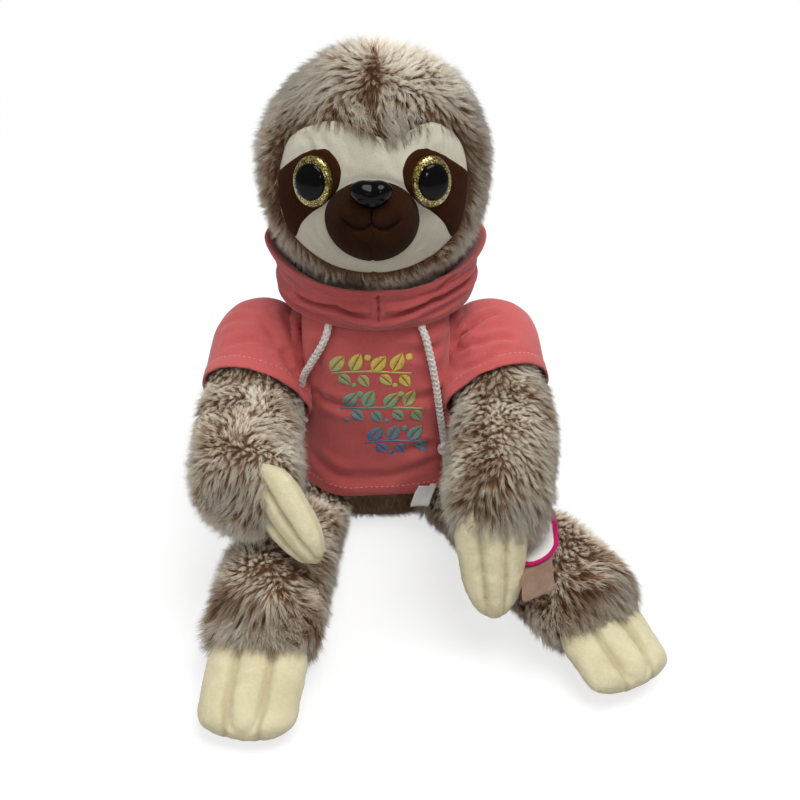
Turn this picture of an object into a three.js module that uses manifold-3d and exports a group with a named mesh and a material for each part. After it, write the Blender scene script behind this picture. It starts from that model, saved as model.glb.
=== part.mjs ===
// A seated plush sloth in a knitted hoodie: skins sewn over stuffing, felt face pieces,
// locked-in eyes and nose, sewn claw pads, a hoodie with cowl, hood and drawstrings, and swing tags.
// Millimetres, +Z up. The toy sits on the floor at z = 0 and faces -Y; its own left is +X.
import * as THREE from "three";
import { mergeVertices } from "three/addons/utils/BufferGeometryUtils.js";
import Module from "manifold-3d";

const wasm = await Module();
wasm.setup();

// Cloth and seams
const seam = 0.3; // where two sewn pieces meet
const plush = 3; // fur cloth, backing and flattened pile
const felt = 1.5; // face pieces laid on the face panel
const knit = 2; // hoodie cloth
const knitEase = 1; // air between the hoodie and the body
const turnClearance = 1.2; // round what turns inside cloth
const flatDepth = 0.5; // soft forms are flattened this much where they rest
const overrun = 30; // how far a cutting tool runs past what it cuts

// Torso
const torsoHeight = 159.7;
const torsoHalfWidth = 50;
const torsoHalfDepth = 47;
const torsoLean = 10; // how far the seat lies behind the neck
const torsoSquareness = 3; // exponent of the plan outline
const neckRadiusShare = 0.44; // of the torso's half-width

// Head
const headRadius = 64.5;
const headHalfHeight = 68;
const headCentreHeight = 222;
const headSquareness = 2.15;
const neckHeight = torsoHeight + seam;

// Face
const faceHalfWidth = 50;
const faceHalfHeight = 40;
const faceRise = 2.4; // face outline's centre above the head's centre
const eyeSide = 29;
const eyeRise = 12.8;
const eyeAzimuth = 22; // degrees outward
const eyeElevation = 10; // degrees upward
const irisHalfWidth = 11;
const irisHalfHeight = 12.8;
const irisBulge = 3.4;
const irisProfileShares = [
  [1, 0.2],
  [0.86, 0.75],
  [0.5, 1],
  [0, 1.04],
];
const pupilHalfWidth = 7.2;
const pupilHalfHeight = 8;
const pupilBulge = 3.2;
const stemRadius = 2.4;
const stemLength = 13;
const washerRadius = 7;
const washerThickness = 2;
const washerDepth = 5.2; // below the face's surface
const muzzleHalfWidth = 24.5;
const muzzleHalfDepth = 22;
const muzzleHalfHeight = 22.5;
const muzzleForward = 56;
const muzzleDrop = 6.2;
const noseHalfWidth = 10;
const noseHalfDepth = 6.5;
const noseHalfHeight = 7.2;
const noseForward = 73.5;
const noseRise = 11.5;
const noseStemLength = 10.5;
const noseElevation = 60; // degrees, of its stem
const noseFlareShare = 0.28; // wider at the top
const noseWasherDepth = 6.5;
const noseWasherShare = 0.57; // of an eye's washer
const mouthDrop = 9; // from the nose to the corners' level
const mouthHalfWidth = 14;
const mouthSag = 3;
const mouthLineShares = [
  [0, 0],
  [0.3, -0.9],
  [0.65, -0.9],
  [1, 0.2],
];
const cleftShares = [1, 0.75, 0.4, 0]; // from the nose down to the lips
const threadRadius = 0.7;

// Arms
const shoulderSide = 69;
const shoulderHeight = 114;
const armRadius = 31;
const armSideCut = 45.3; // the arm lies flat against the body at this distance
const armSideCutRadius = 52; // round the shoulder's axis
const armStartCapShare = 0.92; // of the arm's radius
const armEndCap = 22;
const armBackShare = 0.8; // how far the curve starts behind the shoulder, in radii
const armBackRiseShare = 0.35;
const armGirthShares = [
  [0, 0.94, 0.94],
  [0.35, 0.94, 0.94],
  [0.55, 1, 1],
  [0.8, 0.97, 0.97],
  [1, 0.88, 0.88],
];
const elbowForward = 50;
const elbowOut = 5;
// Elbows and wrists lie this much higher than the top of the thighs
const rightElbowLift = 24.5;
const rightWristForward = 138;
const rightWristIn = 9;
const rightWristLift = 26;
const leftElbowLift = 27;
const leftWristForward = 144;
const leftWristIn = 7.5;
const leftWristLift = 19.5;

// Hands
const handHalfWidth = 19;
const handLength = 57.5;
const handThickness = 13;
const clawShare = 0.42; // of the pad's half-width
const middleClawShare = 1.06; // longer than the outer ones
const handGather = 8; // degrees, outer claws towards the middle
// Each hand's root from its wrist, in arm radii, and the ways that it points and is wide
const handShares = {
  right: { root: [-0.03, 0.55, 0.45], ahead: [0.58, -0.444, -0.683], across: [-0.62, 0.68, -0.39] },
  left: { root: [-0.03, 0.065, 0.065], ahead: [-0.035, -0.106, -0.993], across: [1, 0, 0] },
};

// Legs
const hipSide = 42;
const hipForward = 5.5;
const legReach = 166; // hip to cuff
const legRadius = 32;
const hipRadius = 27;
const hipHalfHeight = 16.5;
const hipClearance = 0.5;
const hipSwing = 35; // degrees outward from rest
const hipCoreShare = 0.3; // the flat middle of its socket
const hipEdgeShare = 0.9; // the rounded edge of its socket
const hipArcSides = 3;
const hipMouthRadius = 7; // the sewn skin's opening inside the torso
const rightSplay = 5.5; // degrees outward
const leftSplay = 28;
const legEndCap = 14;

// Feet
const footHalfWidth = 25;
const footLength = 52;
const footThickness = 17;
const footRootHeight = 26;
const footDroop = 18; // degrees
const footTuckShare = 0.1; // of its length, behind the cuff's middle

// Hoodie
const hemHeight = 31;
const hemRise = 10.5; // at the sides, over the thighs
const hoodieTop = 151;
const hemFoldDepth = 1.6;
const hemFolds = 7;
const hoodieSquareness = 3.6;
const hoodieRowShares = [0, 0.13, 0.26, 0.47, 0.74, 0.9, 1];
const armholeRadius = 27;
const armRootSide = 42.3; // where an arm's root meets the torso's side
const sleeveRootRadius = armholeRadius - seam;
const sleeveShare = 0.52; // of the arm's curve
const hemTurn = 12; // degrees

// Cowl and hood
const cowlFrontRadius = 44;
const cowlSideRadius = 50;
const cowlBackRadius = 52;
const cowlSideLow = 150;
const cowlWaistShare = 0.35; // how far the crease between the rolls draws in
const cowlCreaseShare = 0.22; // the crease's breadth
const cowlSideShares = [0, 0.5]; // from front to back, where the collar rises to its sides
const hoodShares = [0.62, 0.95]; // where the collar runs out into the hood
const cowlRollShares = [0.4, 0.5]; // from back to front, where the roll lowers and closes in
const cowlHalfThickness = 4.6;
const cowlFrontLow = 151;
const cowlFrontHigh = 173;
const cowlSideHigh = 187;
const cowlBackHigh = 200;
const hoodDrop = 112; // lowest point of the hood on the back
const hoodHalfThickness = 8;

// Drawstrings
const stringRadius = 2.4;
const knotRadius = 4.6;
const knotDepthShare = 0.8; // knots lie flattened on the cloth
const knotLift = 1.6; // forward of its string
const knotShares = { right: 0.88, left: 0.84 }; // where each knot sits along its string
const stringRows = 10;
const stringStandOff = 1.2; // off the cloth

// Label and tags
const labelWidth = 11;
const labelLength = 13;
const labelSide = 26;
const labelSewn = 3; // overlap on the hem
const labelStandOff = 0.6; // from the hem's crests to its own middle
const ribbon = 0.8;
const ribbonFoldShare = 1.5; // of its own thickness, out to the loop's outside
const kraftWidth = 18;
const kraftShift = 4.5; // sideways past the pin
const kraftLength = 58;
const card = 0.8;
const cardCorner = 4;
const edgeTagWidth = 24;
const edgeTagLength = 36;
const edgeTagShift = 7;
const tagForwardShare = 0.75; // of the wrist's distance forward, out to the tag pin
const tagInShare = 0.5; // of the leg's radius, in from the middle of the thigh
const tagLift = 2.5; // the pin's middle above the thigh
const tagTilt = 34; // degrees from level, between the arm and the thigh
const tagTurn = 4; // degrees inward
const tagHoleRadius = 1.6;
const tagHoleInset = 7; // from the tags' upper ends
const pinRadius = 1;
const pinHeadRadius = 2.6;

// Facets
const limbSides = 12;
const legRows = 7;
const armRows = 5;
const clawSides = 8;
const clawRows = 7;
const fastenerSides = 24;
const pinSides = 16;
const washerSides = 16;
const muzzleSides = 16;
const muzzleRows = 11;
const noseSides = 14;
const noseRows = 9;
const stringSides = 8;
const threadSides = 5;
const knotSides = 10;
const knotRows = 6;
const cowlSectionSides = 9;
const roundSides = 26;
const arcSides = 5;
const torsoSides = 22;
const headSides = 24;
const headRows = 11;
const hoodieSides = 28;
const cowlSides = 28;
const capRows = 3;

const degrees = THREE.MathUtils.degToRad;
const point = (x, y, z) => new THREE.Vector3(x, y, z);
const upright = (turned) => turned.rotateX(Math.PI / 2);
const { lerp, clamp, smoothstep } = THREE.MathUtils;

// A geometry as a solid that can be joined and cut.
function solid(geometry) {
  const bare = geometry.clone();
  bare.deleteAttribute("normal");
  bare.deleteAttribute("uv");
  const merged = mergeVertices(bare, 1e-4);
  return new wasm.Manifold(
    new wasm.Mesh({
      numProp: 3,
      vertProperties: merged.attributes.position.array,
      triVerts: new Uint32Array(merged.index.array),
    }),
  );
}

// A solid back as a geometry.
function geometryOf(form) {
  const { numProp, vertProperties, triVerts } = form.getMesh();
  const positions = new Float32Array((vertProperties.length / numProp) * 3);
  for (let i = 0; i < positions.length / 3; i++) {
    positions.set(vertProperties.subarray(i * numProp, i * numProp + 3), i * 3);
  }
  const geometry = new THREE.BufferGeometry();
  geometry.setAttribute("position", new THREE.BufferAttribute(positions, 3));
  geometry.setIndex(new THREE.BufferAttribute(triVerts, 1));
  geometry.computeVertexNormals();
  return geometry;
}

// Moves every vertex of a geometry to place(x, y, z).
function reshape(geometry, place) {
  const position = geometry.attributes.position;
  for (let i = 0; i < position.count; i++) {
    const p = place(position.getX(i), position.getY(i), position.getZ(i));
    position.setXYZ(i, p.x, p.y, p.z);
  }
  return geometry;
}

// A value read from a table of [share, value, ...] rows, eased between its rows.
function eased(table, share, column = 1) {
  const next = table.findIndex((row) => row[0] >= share);
  if (next <= 0) return next < 0 ? table.at(-1)[column] : table[0][column];
  const low = table[next - 1];
  const high = table[next];
  return lerp(low[column], high[column], smoothstep(share, low[0], high[0]));
}

// A value read from the same kind of table along straight lines.
function straight(table, share, column = 1) {
  const next = table.findIndex((row) => row[0] >= share);
  if (next <= 0) return next < 0 ? table.at(-1)[column] : table[0][column];
  const low = table[next - 1];
  const high = table[next];
  return lerp(low[column], high[column], (share - low[0]) / (high[0] - low[0]));
}

// A mirror-safe sign power, for outlines between an ellipse and a box.
const rounded = (value, exponent) => Math.sign(value) * Math.abs(value) ** (2 / exponent);

// A box that keeps or cuts away one side of a plane square to X, Y or Z.
function halfSpace(axis, sign, at) {
  const size = torsoHeight * 4;
  const box = new THREE.BoxGeometry(size, size, size);
  const offset = new THREE.Vector3().setComponent(axis, at + (sign * size) / 2);
  return solid(box.translate(offset.x, offset.y, offset.z));
}

// A cylinder along X between two sides, round an axis through a place.
function crossCylinder(radius, from, to, place, sides = roundSides) {
  const cylinder = new THREE.CylinderGeometry(radius, radius, Math.abs(to - from), sides);
  return solid(cylinder.rotateZ(Math.PI / 2).translate((from + to) / 2, place.y, place.z));
}

// An outline in the XZ plane, drawn through points, as a tool that runs forward from the head's axis.
function facePunch(points, grow = 0) {
  const curve = new THREE.CatmullRomCurve3(
    points.map(([x, z]) => new THREE.Vector3(x, z, 0)),
    true,
  );
  const outline = curve.getPoints(points.length * 3);
  const middle = outline
    .reduce((sum, p) => sum.add(p), new THREE.Vector3())
    .divideScalar(outline.length);
  const grown = outline.map((p) => {
    const away = p.clone().sub(middle);
    return away.setLength(away.length() + grow).add(middle);
  });
  const shape = new THREE.Shape(grown.slice(0, -1).map((p) => new THREE.Vector2(p.x, p.y)));
  const depth = headRadius + overrun;
  const punch = new THREE.ExtrudeGeometry(shape, { depth, bevelEnabled: false, curveSegments: 1 });
  return solid(punch.rotateX(Math.PI / 2).translate(0, 0, headCentreHeight + faceRise));
}

const fur = new THREE.MeshStandardMaterial({ color: 0xa5917c, roughness: 0.95, metalness: 0 });
const stuffing = new THREE.MeshStandardMaterial({ color: 0xf2f0ea, roughness: 1, metalness: 0 });
const creamPlush = new THREE.MeshStandardMaterial({ color: 0xd8d2b4, roughness: 0.9, metalness: 0 });
const palePlush = new THREE.MeshStandardMaterial({ color: 0xbfbaa8, roughness: 0.9, metalness: 0 });
const darkFelt = new THREE.MeshStandardMaterial({ color: 0x321a10, roughness: 0.95, metalness: 0 });
const pinkKnit = new THREE.MeshStandardMaterial({ color: 0xc0606a, roughness: 0.9, metalness: 0 });
const cotton = new THREE.MeshStandardMaterial({ color: 0xe6e0da, roughness: 0.9, metalness: 0 });
const blackPlastic = new THREE.MeshStandardMaterial({ color: 0x0a0a0c, roughness: 0.15, metalness: 0 });
const goldGlitter = new THREE.MeshStandardMaterial({ color: 0x96903c, roughness: 0.35, metalness: 0.5 });
const clearPlastic = new THREE.MeshStandardMaterial({ color: 0xdadada, roughness: 0.4, metalness: 0 });
const satin = new THREE.MeshStandardMaterial({ color: 0xf0f0f0, roughness: 0.4, metalness: 0 });
const kraftCard = new THREE.MeshStandardMaterial({ color: 0x8c7364, roughness: 0.9, metalness: 0 });
const glossCard = new THREE.MeshStandardMaterial({ color: 0xbe145a, roughness: 0.35, metalness: 0 });

const sloth = new THREE.Group();

function add(name, form, material) {
  const mesh = new THREE.Mesh(geometryOf(form), material);
  mesh.name = name;
  sloth.add(mesh);
}

// Torso: rings of half-width, half-depth and lean, by height
const torsoRingShares = [
  [0, 0.68, 0.7, 1],
  [0.04, 0.87, 0.89, 1],
  [0.09, 0.96, 0.97, 1],
  [0.2, 1, 1, 1],
  [0.3, 0.93, 0.99, 0.9],
  [0.39, 0.84, 0.98, 0.75],
  [0.55, 0.84, 0.97, 0.5],
  [0.75, 0.84, 0.94, 0.25],
  [0.87, 0.82, 0.88, 0.1],
  [0.94, 0.72, 0.77, 0],
  [0.98, 0.6, 0.63, 0],
  [1, 0.5, 0.52, 0],
];

const torsoLeanAt = (height) =>
  torsoLean * straight(torsoRingShares, clamp(height / torsoHeight, 0, 1), 3);

// A point of the torso's surface pushed out by an offset, at an angle round it from +X towards +Y.
function torsoPoint(angle, height, offset, squareness = torsoSquareness) {
  const share = clamp(height / torsoHeight, 0, 1);
  const across = torsoHalfWidth * straight(torsoRingShares, share, 1) + offset;
  const deep = torsoHalfDepth * straight(torsoRingShares, share, 2) + offset;
  return new THREE.Vector3(
    across * rounded(Math.cos(angle), squareness),
    torsoLeanAt(height) + deep * rounded(Math.sin(angle), squareness),
    height,
  );
}

// The closed torso, inset all round, with its flat top at the neck or above it.
function torsoForm(inset, top = torsoHeight, squareness = torsoSquareness) {
  const heights = torsoRingShares.map(([share]) => share * torsoHeight).slice(1, -1);
  const rings = [inset, ...heights.filter((height) => height > inset), top];
  const profile = rings.map((height) => new THREE.Vector2(1, height));
  profile.unshift(new THREE.Vector2(0, inset));
  profile.push(new THREE.Vector2(0, top));
  return solid(
    reshape(new THREE.LatheGeometry(profile, torsoSides), (x, y, z) => {
      const surface = torsoPoint(Math.atan2(-z, x), y, -inset, squareness);
      return Math.hypot(x, z) < 0.5 ? point(0, torsoLeanAt(y), y) : surface;
    }),
  );
}

// Head: a turned form about the neck's axis, so that it can turn inside the cowl
function headRadiusAt(height) {
  const rise = clamp(Math.abs(height - headCentreHeight) / headHalfHeight, 0, 1);
  return headRadius * (1 - rise ** headSquareness) ** (1 / headSquareness);
}

function headForm(inset) {
  const profile = [];
  for (let i = 0; i <= headRows; i++) {
    const angle = Math.PI * (i / headRows - 1 / 2);
    const radius = (headRadius - inset) * rounded(Math.cos(angle), headSquareness);
    const rise = (headHalfHeight - inset) * rounded(Math.sin(angle), headSquareness);
    profile.push(new THREE.Vector2(i % headRows ? radius : 0, headCentreHeight + rise));
  }
  return solid(upright(new THREE.LatheGeometry(profile, headSides)));
}

// A stuffed limb: a turned form bent along its curve, with its own width and height at each share of
// its length. Both ends are round, and an inset shrinks it all round.
function limbGeometry(limb, inset) {
  const length = limb.curve.getLength();
  const profile = [];
  for (let i = 0; i <= capRows; i++) {
    const angle = ((i / capRows) * Math.PI) / 2;
    const along = limb.startCap - (limb.startCap - inset) * Math.cos(angle);
    profile.push(new THREE.Vector2(Math.sin(angle), along));
  }
  for (let i = 1; i < limb.rows; i++) {
    profile.push(new THREE.Vector2(1, lerp(limb.startCap, length - limb.endCap, i / limb.rows)));
  }
  for (let i = capRows; i >= 0; i--) {
    const angle = ((i / capRows) * Math.PI) / 2;
    const along = length - limb.endCap + (limb.endCap - inset) * Math.cos(angle);
    profile.push(new THREE.Vector2(Math.sin(angle), along));
  }
  profile[0].x = 0;
  profile.at(-1).x = 0;
  const across = new THREE.Vector3(1, 0, 0);
  return reshape(new THREE.LatheGeometry(profile, limb.sides), (x, y, z) => {
    const share = clamp(y / length, 0, 1);
    const tangent = limb.curve.getTangentAt(share);
    const side = across.clone().addScaledVector(tangent, -across.dot(tangent)).normalize();
    const up = side.clone().cross(tangent);
    return limb.curve
      .getPointAt(share)
      .addScaledVector(tangent, y - share * length)
      .addScaledVector(side, x * (limb.radius * eased(limb.girthShares, share, 1) - inset))
      .addScaledVector(up, z * (limb.radius * eased(limb.girthShares, share, 2) - inset));
  });
}
const limbForm = (limb, inset) => solid(limbGeometry(limb, inset));

// Lays a piece, drawn from the origin along -Y with its width along X, onto a start and two directions.
function layAlong(start, ahead, across) {
  const y = ahead.clone().normalize().negate();
  const x = across.clone().addScaledVector(y, -across.dot(y)).normalize();
  return new THREE.Matrix4().makeBasis(x, y, x.clone().cross(y)).setPosition(start);
}

// Three stuffed claws side by side in one pad, drawn along -Y from its root.
// Gathered claws meet at the tip.
function clawPad(halfWidth, length, thickness, gather, placed) {
  const clawHalfWidth = halfWidth * clawShare;
  const claws = [-1, 0, 1].map((place) => {
    const claw = new THREE.SphereGeometry(1, clawSides, clawRows);
    claw.rotateX(Math.PI / 2);
    const halfLength = (length / 2) * (place ? 1 / middleClawShare : 1);
    claw.scale(clawHalfWidth, halfLength, thickness / 2);
    claw.translate(0, -halfLength, 0);
    claw.rotateZ(-place * gather);
    claw.translate(place * (halfWidth - clawHalfWidth), 0, 0);
    return solid(claw.applyMatrix4(placed));
  });
  return claws[0].add(claws[1]).add(claws[2]);
}

// A tube of round section along a curve.
function tube(curve, radius, sides, steps) {
  const section = new THREE.Shape().absarc(0, 0, radius, 0, Math.PI * 2);
  return new THREE.ExtrudeGeometry(section, {
    curveSegments: sides,
    steps,
    extrudePath: curve,
    bevelEnabled: false,
  });
}

// Legs: the curve starts behind the hip, so that the round root turns about the hip's upright axis, and
// it rises with the leg's girth, so that the underside lies along the floor
const legGirthShares = [
  [0, hipRadius / legRadius, hipHalfHeight / legRadius],
  [0.34, hipRadius / legRadius, hipHalfHeight / legRadius],
  [0.5, 0.9, 0.76],
  [0.74, 0.96, 0.94],
  [0.9, 1, 0.95],
  [1, 0.96, 0.92],
];
const legPointShares = [0, 0.12, 0.25, 0.37, 0.5, 0.62, 0.75, 0.87, 1];
function legOf(side, splay) {
  const angle = degrees(splay);
  const ahead = point(side * Math.sin(angle), -Math.cos(angle), 0);
  const hip = point(side * hipSide, -hipForward, 0);
  const at = (distance) => {
    const share = (hipRadius + distance) / (hipRadius + legReach);
    const halfHeight = legRadius * eased(legGirthShares, share, 2);
    return hip.clone().addScaledVector(ahead, distance).setZ(halfHeight - flatDepth);
  };
  const places = legPointShares.map((share) => at(share * legReach));
  return {
    curve: new THREE.CatmullRomCurve3([at(-hipRadius), ...places]),
    side,
    ahead,
    angle,
    hip,
    cuff: at(legReach),
    radius: legRadius,
    startCap: hipRadius,
    endCap: legEndCap,
    sides: limbSides,
    rows: legRows,
    girthShares: legGirthShares,
  };
}
const legs = { right: legOf(-1, rightSplay), left: legOf(1, leftSplay) };

// Arms: elbows droop beside the body and the hands come forward onto and between the legs
function armOf(side, elbowLift, wristForward, wristIn, wristLift) {
  const shoulder = point(side * shoulderSide, 0, shoulderHeight);
  const thighTop = legRadius * 2;
  const curve = new THREE.CatmullRomCurve3([
    shoulder.clone().add(point(0, armRadius * armBackShare, armRadius * armBackRiseShare)),
    shoulder,
    shoulder.clone().add(point(side * elbowOut, -elbowForward, 0)).setZ(thighTop + elbowLift),
    shoulder.clone().add(point(-side * wristIn, -wristForward, 0)).setZ(thighTop + wristLift),
  ]);
  return {
    curve,
    side,
    shoulder,
    wrist: curve.getPointAt(1),
    radius: armRadius,
    startCap: armRadius * armStartCapShare,
    endCap: armEndCap,
    sides: limbSides,
    rows: armRows,
    girthShares: armGirthShares,
  };
}
const arms = {
  right: armOf(-1, rightElbowLift, rightWristForward, rightWristIn, rightWristLift),
  left: armOf(1, leftElbowLift, leftWristForward, leftWristIn, leftWristLift),
};

const belowFloor = halfSpace(2, -1, 0);

const cutAll = (form, tools) => tools.reduce((left, tool) => left.subtract(tool), form);
const joinAll = (forms) => forms.reduce((all, form) => all.add(form));

// What a leg sweeps out of the torso as it turns outward: a rounded wedge about the hip's upright axis
function hipSocket(leg, clearance) {
  const core = hipRadius * hipCoreShare;
  const from = Math.atan2(leg.ahead.y, leg.ahead.x);
  const to = from + leg.side * degrees(hipSwing);
  const [low, high] = [from, to].sort((a, b) => a - b);
  const at = (angle, reach, turn) =>
    new THREE.Vector2(
      leg.hip.x + reach * Math.cos(angle) + core * Math.cos(angle + turn),
      leg.hip.y + reach * Math.sin(angle) + core * Math.sin(angle + turn),
    );
  const outline = [];
  for (let i = 0; i <= hipArcSides; i++) {
    const share = i / hipArcSides;
    outline.push(at(lerp(low, high, share), legReach / 2, Math.PI * (share - 1 / 2)));
  }
  for (let i = 0; i <= hipArcSides * 2; i++) {
    const back = high + Math.PI / 2 + (Math.PI - (high - low)) * (i / hipArcSides / 2);
    outline.push(at(back, 0, 0));
  }
  const rise = hipHalfHeight + clearance;
  const edge = rise * hipEdgeShare;
  const wedge = new THREE.ExtrudeGeometry(new THREE.Shape(outline), {
    depth: (rise - edge) * 2,
    bevelThickness: edge,
    bevelSize: hipRadius - core + clearance,
    bevelSegments: capRows,
  });
  return solid(wedge.translate(0, 0, hipHalfHeight - flatDepth - rise + edge));
}

// Torso skin and stuffing, hollowed for the hips and open at the neck
const neckRadius = torsoHalfWidth * neckRadiusShare;
const neckOpening = new THREE.CylinderGeometry(neckRadius, neckRadius, overrun, headSides);
const neckCore = solid(upright(neckOpening).translate(0, 0, neckHeight));
const hipSockets = (clearance) => Object.values(legs).map((leg) => hipSocket(leg, clearance));
const torsoLess = (inset) =>
  cutAll(torsoForm(inset, torsoHeight - inset), hipSockets(hipClearance + inset));
const torsoOuter = torsoLess(0);
const torsoInner = torsoLess(plush);
const torsoSpace = torsoLess(plush + seam);
add("torso_skin", torsoOuter.subtract(torsoInner).subtract(neckCore), fur);
add("torso_fill", torsoSpace, stuffing);

// Legs and feet
for (const [name, leg] of Object.entries(legs)) {
  const mouthPlace = leg.hip.clone().setZ(hipHalfHeight);
  const mouth = crossCylinder(hipMouthRadius, 0, leg.side * hipSide, mouthPlace, limbSides);
  const hollow = limbForm(leg, plush).add(mouth);
  add("leg_skin_" + name, limbForm(leg, 0).subtract(belowFloor).subtract(hollow), fur);
  add("leg_fill_" + name, limbForm(leg, plush + seam), stuffing);

  const droop = leg.ahead.clone().setZ(-Math.tan(degrees(footDroop)));
  const root = leg.cuff.clone().addScaledVector(leg.ahead, -footLength * footTuckShare);
  const across = point(-leg.ahead.y, leg.ahead.x, 0);
  const laid = layAlong(root.setZ(footRootHeight), droop, across);
  const pad = clawPad(footHalfWidth, footLength, footThickness, 0, laid);
  add("foot_claws_" + name, pad.subtract(limbForm(leg, -seam)).subtract(belowFloor), creamPlush);
}

// Arms and hands. Round the shoulder's axis each arm is flat against the body and swings past it.
for (const [name, arm] of Object.entries(arms)) {
  const side = arm.side;
  const bodySide = crossCylinder(armSideCutRadius, 0, side * armSideCut, arm.shoulder);
  const armRoot = (radius, to) => crossCylinder(radius, side * armRootSide, side * to, arm.shoulder);
  const outer = limbForm(arm, 0).subtract(bodySide);
  const inner = limbForm(arm, plush).subtract(bodySide);
  const innerSpace = limbForm(arm, plush + seam).subtract(bodySide);
  const skinRadius = sleeveRootRadius - knit - seam;
  const rootSkin = armRoot(skinRadius, armSideCut + plush);
  const rootHole = armRoot(skinRadius - plush, armSideCut + overrun);
  const rootFill = armRoot(skinRadius - plush - seam, armSideCut + plush);
  add("arm_skin_" + name, outer.add(rootSkin).subtract(inner).subtract(rootHole), fur);
  add("arm_fill_" + name, innerSpace.add(rootFill), stuffing);

  const hand = handShares[name];
  const start = arm.wrist.clone().addScaledVector(point(...hand.root), armRadius);
  const laid = layAlong(start, point(...hand.ahead), point(...hand.across));
  const pad = clawPad(handHalfWidth, handLength, handThickness, degrees(handGather), laid);
  add("hand_claws_" + name, pad.subtract(limbForm(arm, -seam)), creamPlush);

  const hem = arm.curve.getPointAt(sleeveShare);
  const turn = side * degrees(hemTurn);
  const away = arm.curve.getTangentAt(sleeveShare).applyAxisAngle(point(0, 0, 1), turn);
  const beyond = solid(
    new THREE.BoxGeometry(legReach, legReach, legReach)
      .translate(0, -legReach / 2, 0)
      .applyMatrix4(layAlong(hem, away, point(1, 0, 0))),
  );
  const rootEnd = armSideCut + plush + seam;
  const sleeveRoot = armRoot(sleeveRootRadius, rootEnd + knit);
  const inRoot = armRoot(sleeveRootRadius - knit, rootEnd);
  const sleeve = limbForm(arm, -knitEase - knit).subtract(bodySide).add(sleeveRoot);
  const inSleeve = limbForm(arm, -knitEase).subtract(bodySide);
  add("hoodie_sleeve_" + name, cutAll(sleeve, [inSleeve, inRoot, beyond]), pinkKnit);
}

// Hoodie body: a tube of cloth round the torso, with a waved hem that rises over the thighs
function hoodiePoint(angle, share, offset) {
  const side = Math.abs(Math.cos(angle));
  const hem = hemHeight + hemRise * side ** 2;
  const height = lerp(hem, hoodieTop, share);
  const wave = (1 + Math.cos(angle * hemFolds)) / 2;
  const fold = hemFoldDepth * wave * (1 - share) ** 2;
  return torsoPoint(angle, height, offset + fold, hoodieSquareness);
}
function hoodieForm(inner, outer) {
  const profile = [
    ...hoodieRowShares.map((share) => new THREE.Vector2(2, share)),
    ...hoodieRowShares.toReversed().map((share) => new THREE.Vector2(1, share)),
    new THREE.Vector2(2, 0),
  ];
  return solid(
    reshape(new THREE.LatheGeometry(profile, hoodieSides), (x, y, z) =>
      hoodiePoint(Math.atan2(-z, x), y, Math.hypot(x, z) > 1.5 ? outer : inner),
    ),
  );
}
const armholes = Object.values(arms).map((arm) =>
  crossCylinder(armholeRadius, 0, arm.side * torsoHalfWidth * 2, arm.shoulder),
);
const hoodie = hoodieForm(knitEase, knitEase + knit);
add("hoodie_body", cutAll(hoodie, armholes), pinkKnit);

// Cowl and hood: one ring of doubled cloth round the neck, two rolls high in front and a hood behind
function cowlPoint(around, inOut, upDown, grow) {
  const front = (1 - Math.sin(around)) / 2; // 1 in front, 0 behind
  const back = smoothstep(1 - front, ...hoodShares);
  const [lowered, drawnIn] = cowlRollShares.map((share) => smoothstep(front, share, 1));
  const raised = smoothstep(1 - front, ...cowlSideShares);
  const low = lerp(lerp(cowlSideLow, cowlFrontLow, lowered), hoodDrop, back);
  const high = lerp(lerp(cowlFrontHigh, cowlSideHigh, raised), cowlBackHigh, back);
  const thick = lerp(cowlHalfThickness, hoodHalfThickness, back);
  const grown = 1 + grow / thick;
  const roll = 1 - cowlWaistShare * Math.exp(-((upDown / cowlCreaseShare) ** 2)) * (1 - back);
  const height = (low + high) / 2 + ((high - low) / 2 + grow) * upDown;
  const collar = lerp(lerp(cowlSideRadius, cowlFrontRadius, drawnIn), cowlBackRadius, back);
  const inner = Math.max(collar, headRadiusAt(height) + turnClearance);
  const radius = inner + thick + thick * roll * grown * inOut;
  return point(radius * Math.cos(around), radius * Math.sin(around), height);
}
const cowlForm = (grow) =>
  solid(
    reshape(new THREE.TorusGeometry(2, 1, cowlSectionSides, cowlSides), (x, y, z) =>
      cowlPoint(Math.atan2(y, x), Math.hypot(x, y) - 2, z, grow),
    ),
  );
const envelopeOut = knitEase + knit + hemFoldDepth + seam;
const hoodieEnvelope = torsoForm(-envelopeOut, torsoHeight, hoodieSquareness);
const openCowl = cowlForm(0).subtract(headForm(-turnClearance));
add("hoodie_cowl", openCowl.subtract(hoodieEnvelope), pinkKnit);

// Head skin and stuffing, with the face panel set into the skin's opening
const faceOutlineShares = [
  [0.16, 0.8],
  [0.5, 0.92],
  [0.68, 0.9],
  [0.88, 0.7],
  [0.98, 0.38],
  [1, 0],
  [0.96, -0.32],
  [0.86, -0.58],
  [0.6, -0.84],
  [0.3, -0.98],
  [0, -1.02],
  [-0.3, -0.98],
  [-0.6, -0.84],
  [-0.86, -0.58],
  [-0.98, -0.32],
  [-1, 0],
  [-0.97, 0.35],
  [-0.85, 0.7],
  [-0.6, 0.9],
  [-0.3, 0.97],
];
const patchOutlineShares = [
  [0.5, 0.66],
  [0.37, 0.6],
  [0.3, 0.44],
  [0.32, 0.26],
  [0.38, 0.12],
  [0.5, -0.04],
  [0.61, -0.15],
  [0.73, -0.33],
  [0.84, -0.6],
  [1.05, -0.7],
  [1.1, 0],
  [1.02, 0.22],
  [0.84, 0.43],
  [0.68, 0.58],
];
const onFace = (shares, side = 1) =>
  shares.map(([x, z]) => [side * x * faceHalfWidth, z * faceHalfHeight]);
const facePunchAll = facePunch(onFace(faceOutlineShares));
const faceOpening = facePunch(onFace(faceOutlineShares), seam);
const headShell = (near, far) => headForm(near).subtract(headForm(far));
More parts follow.
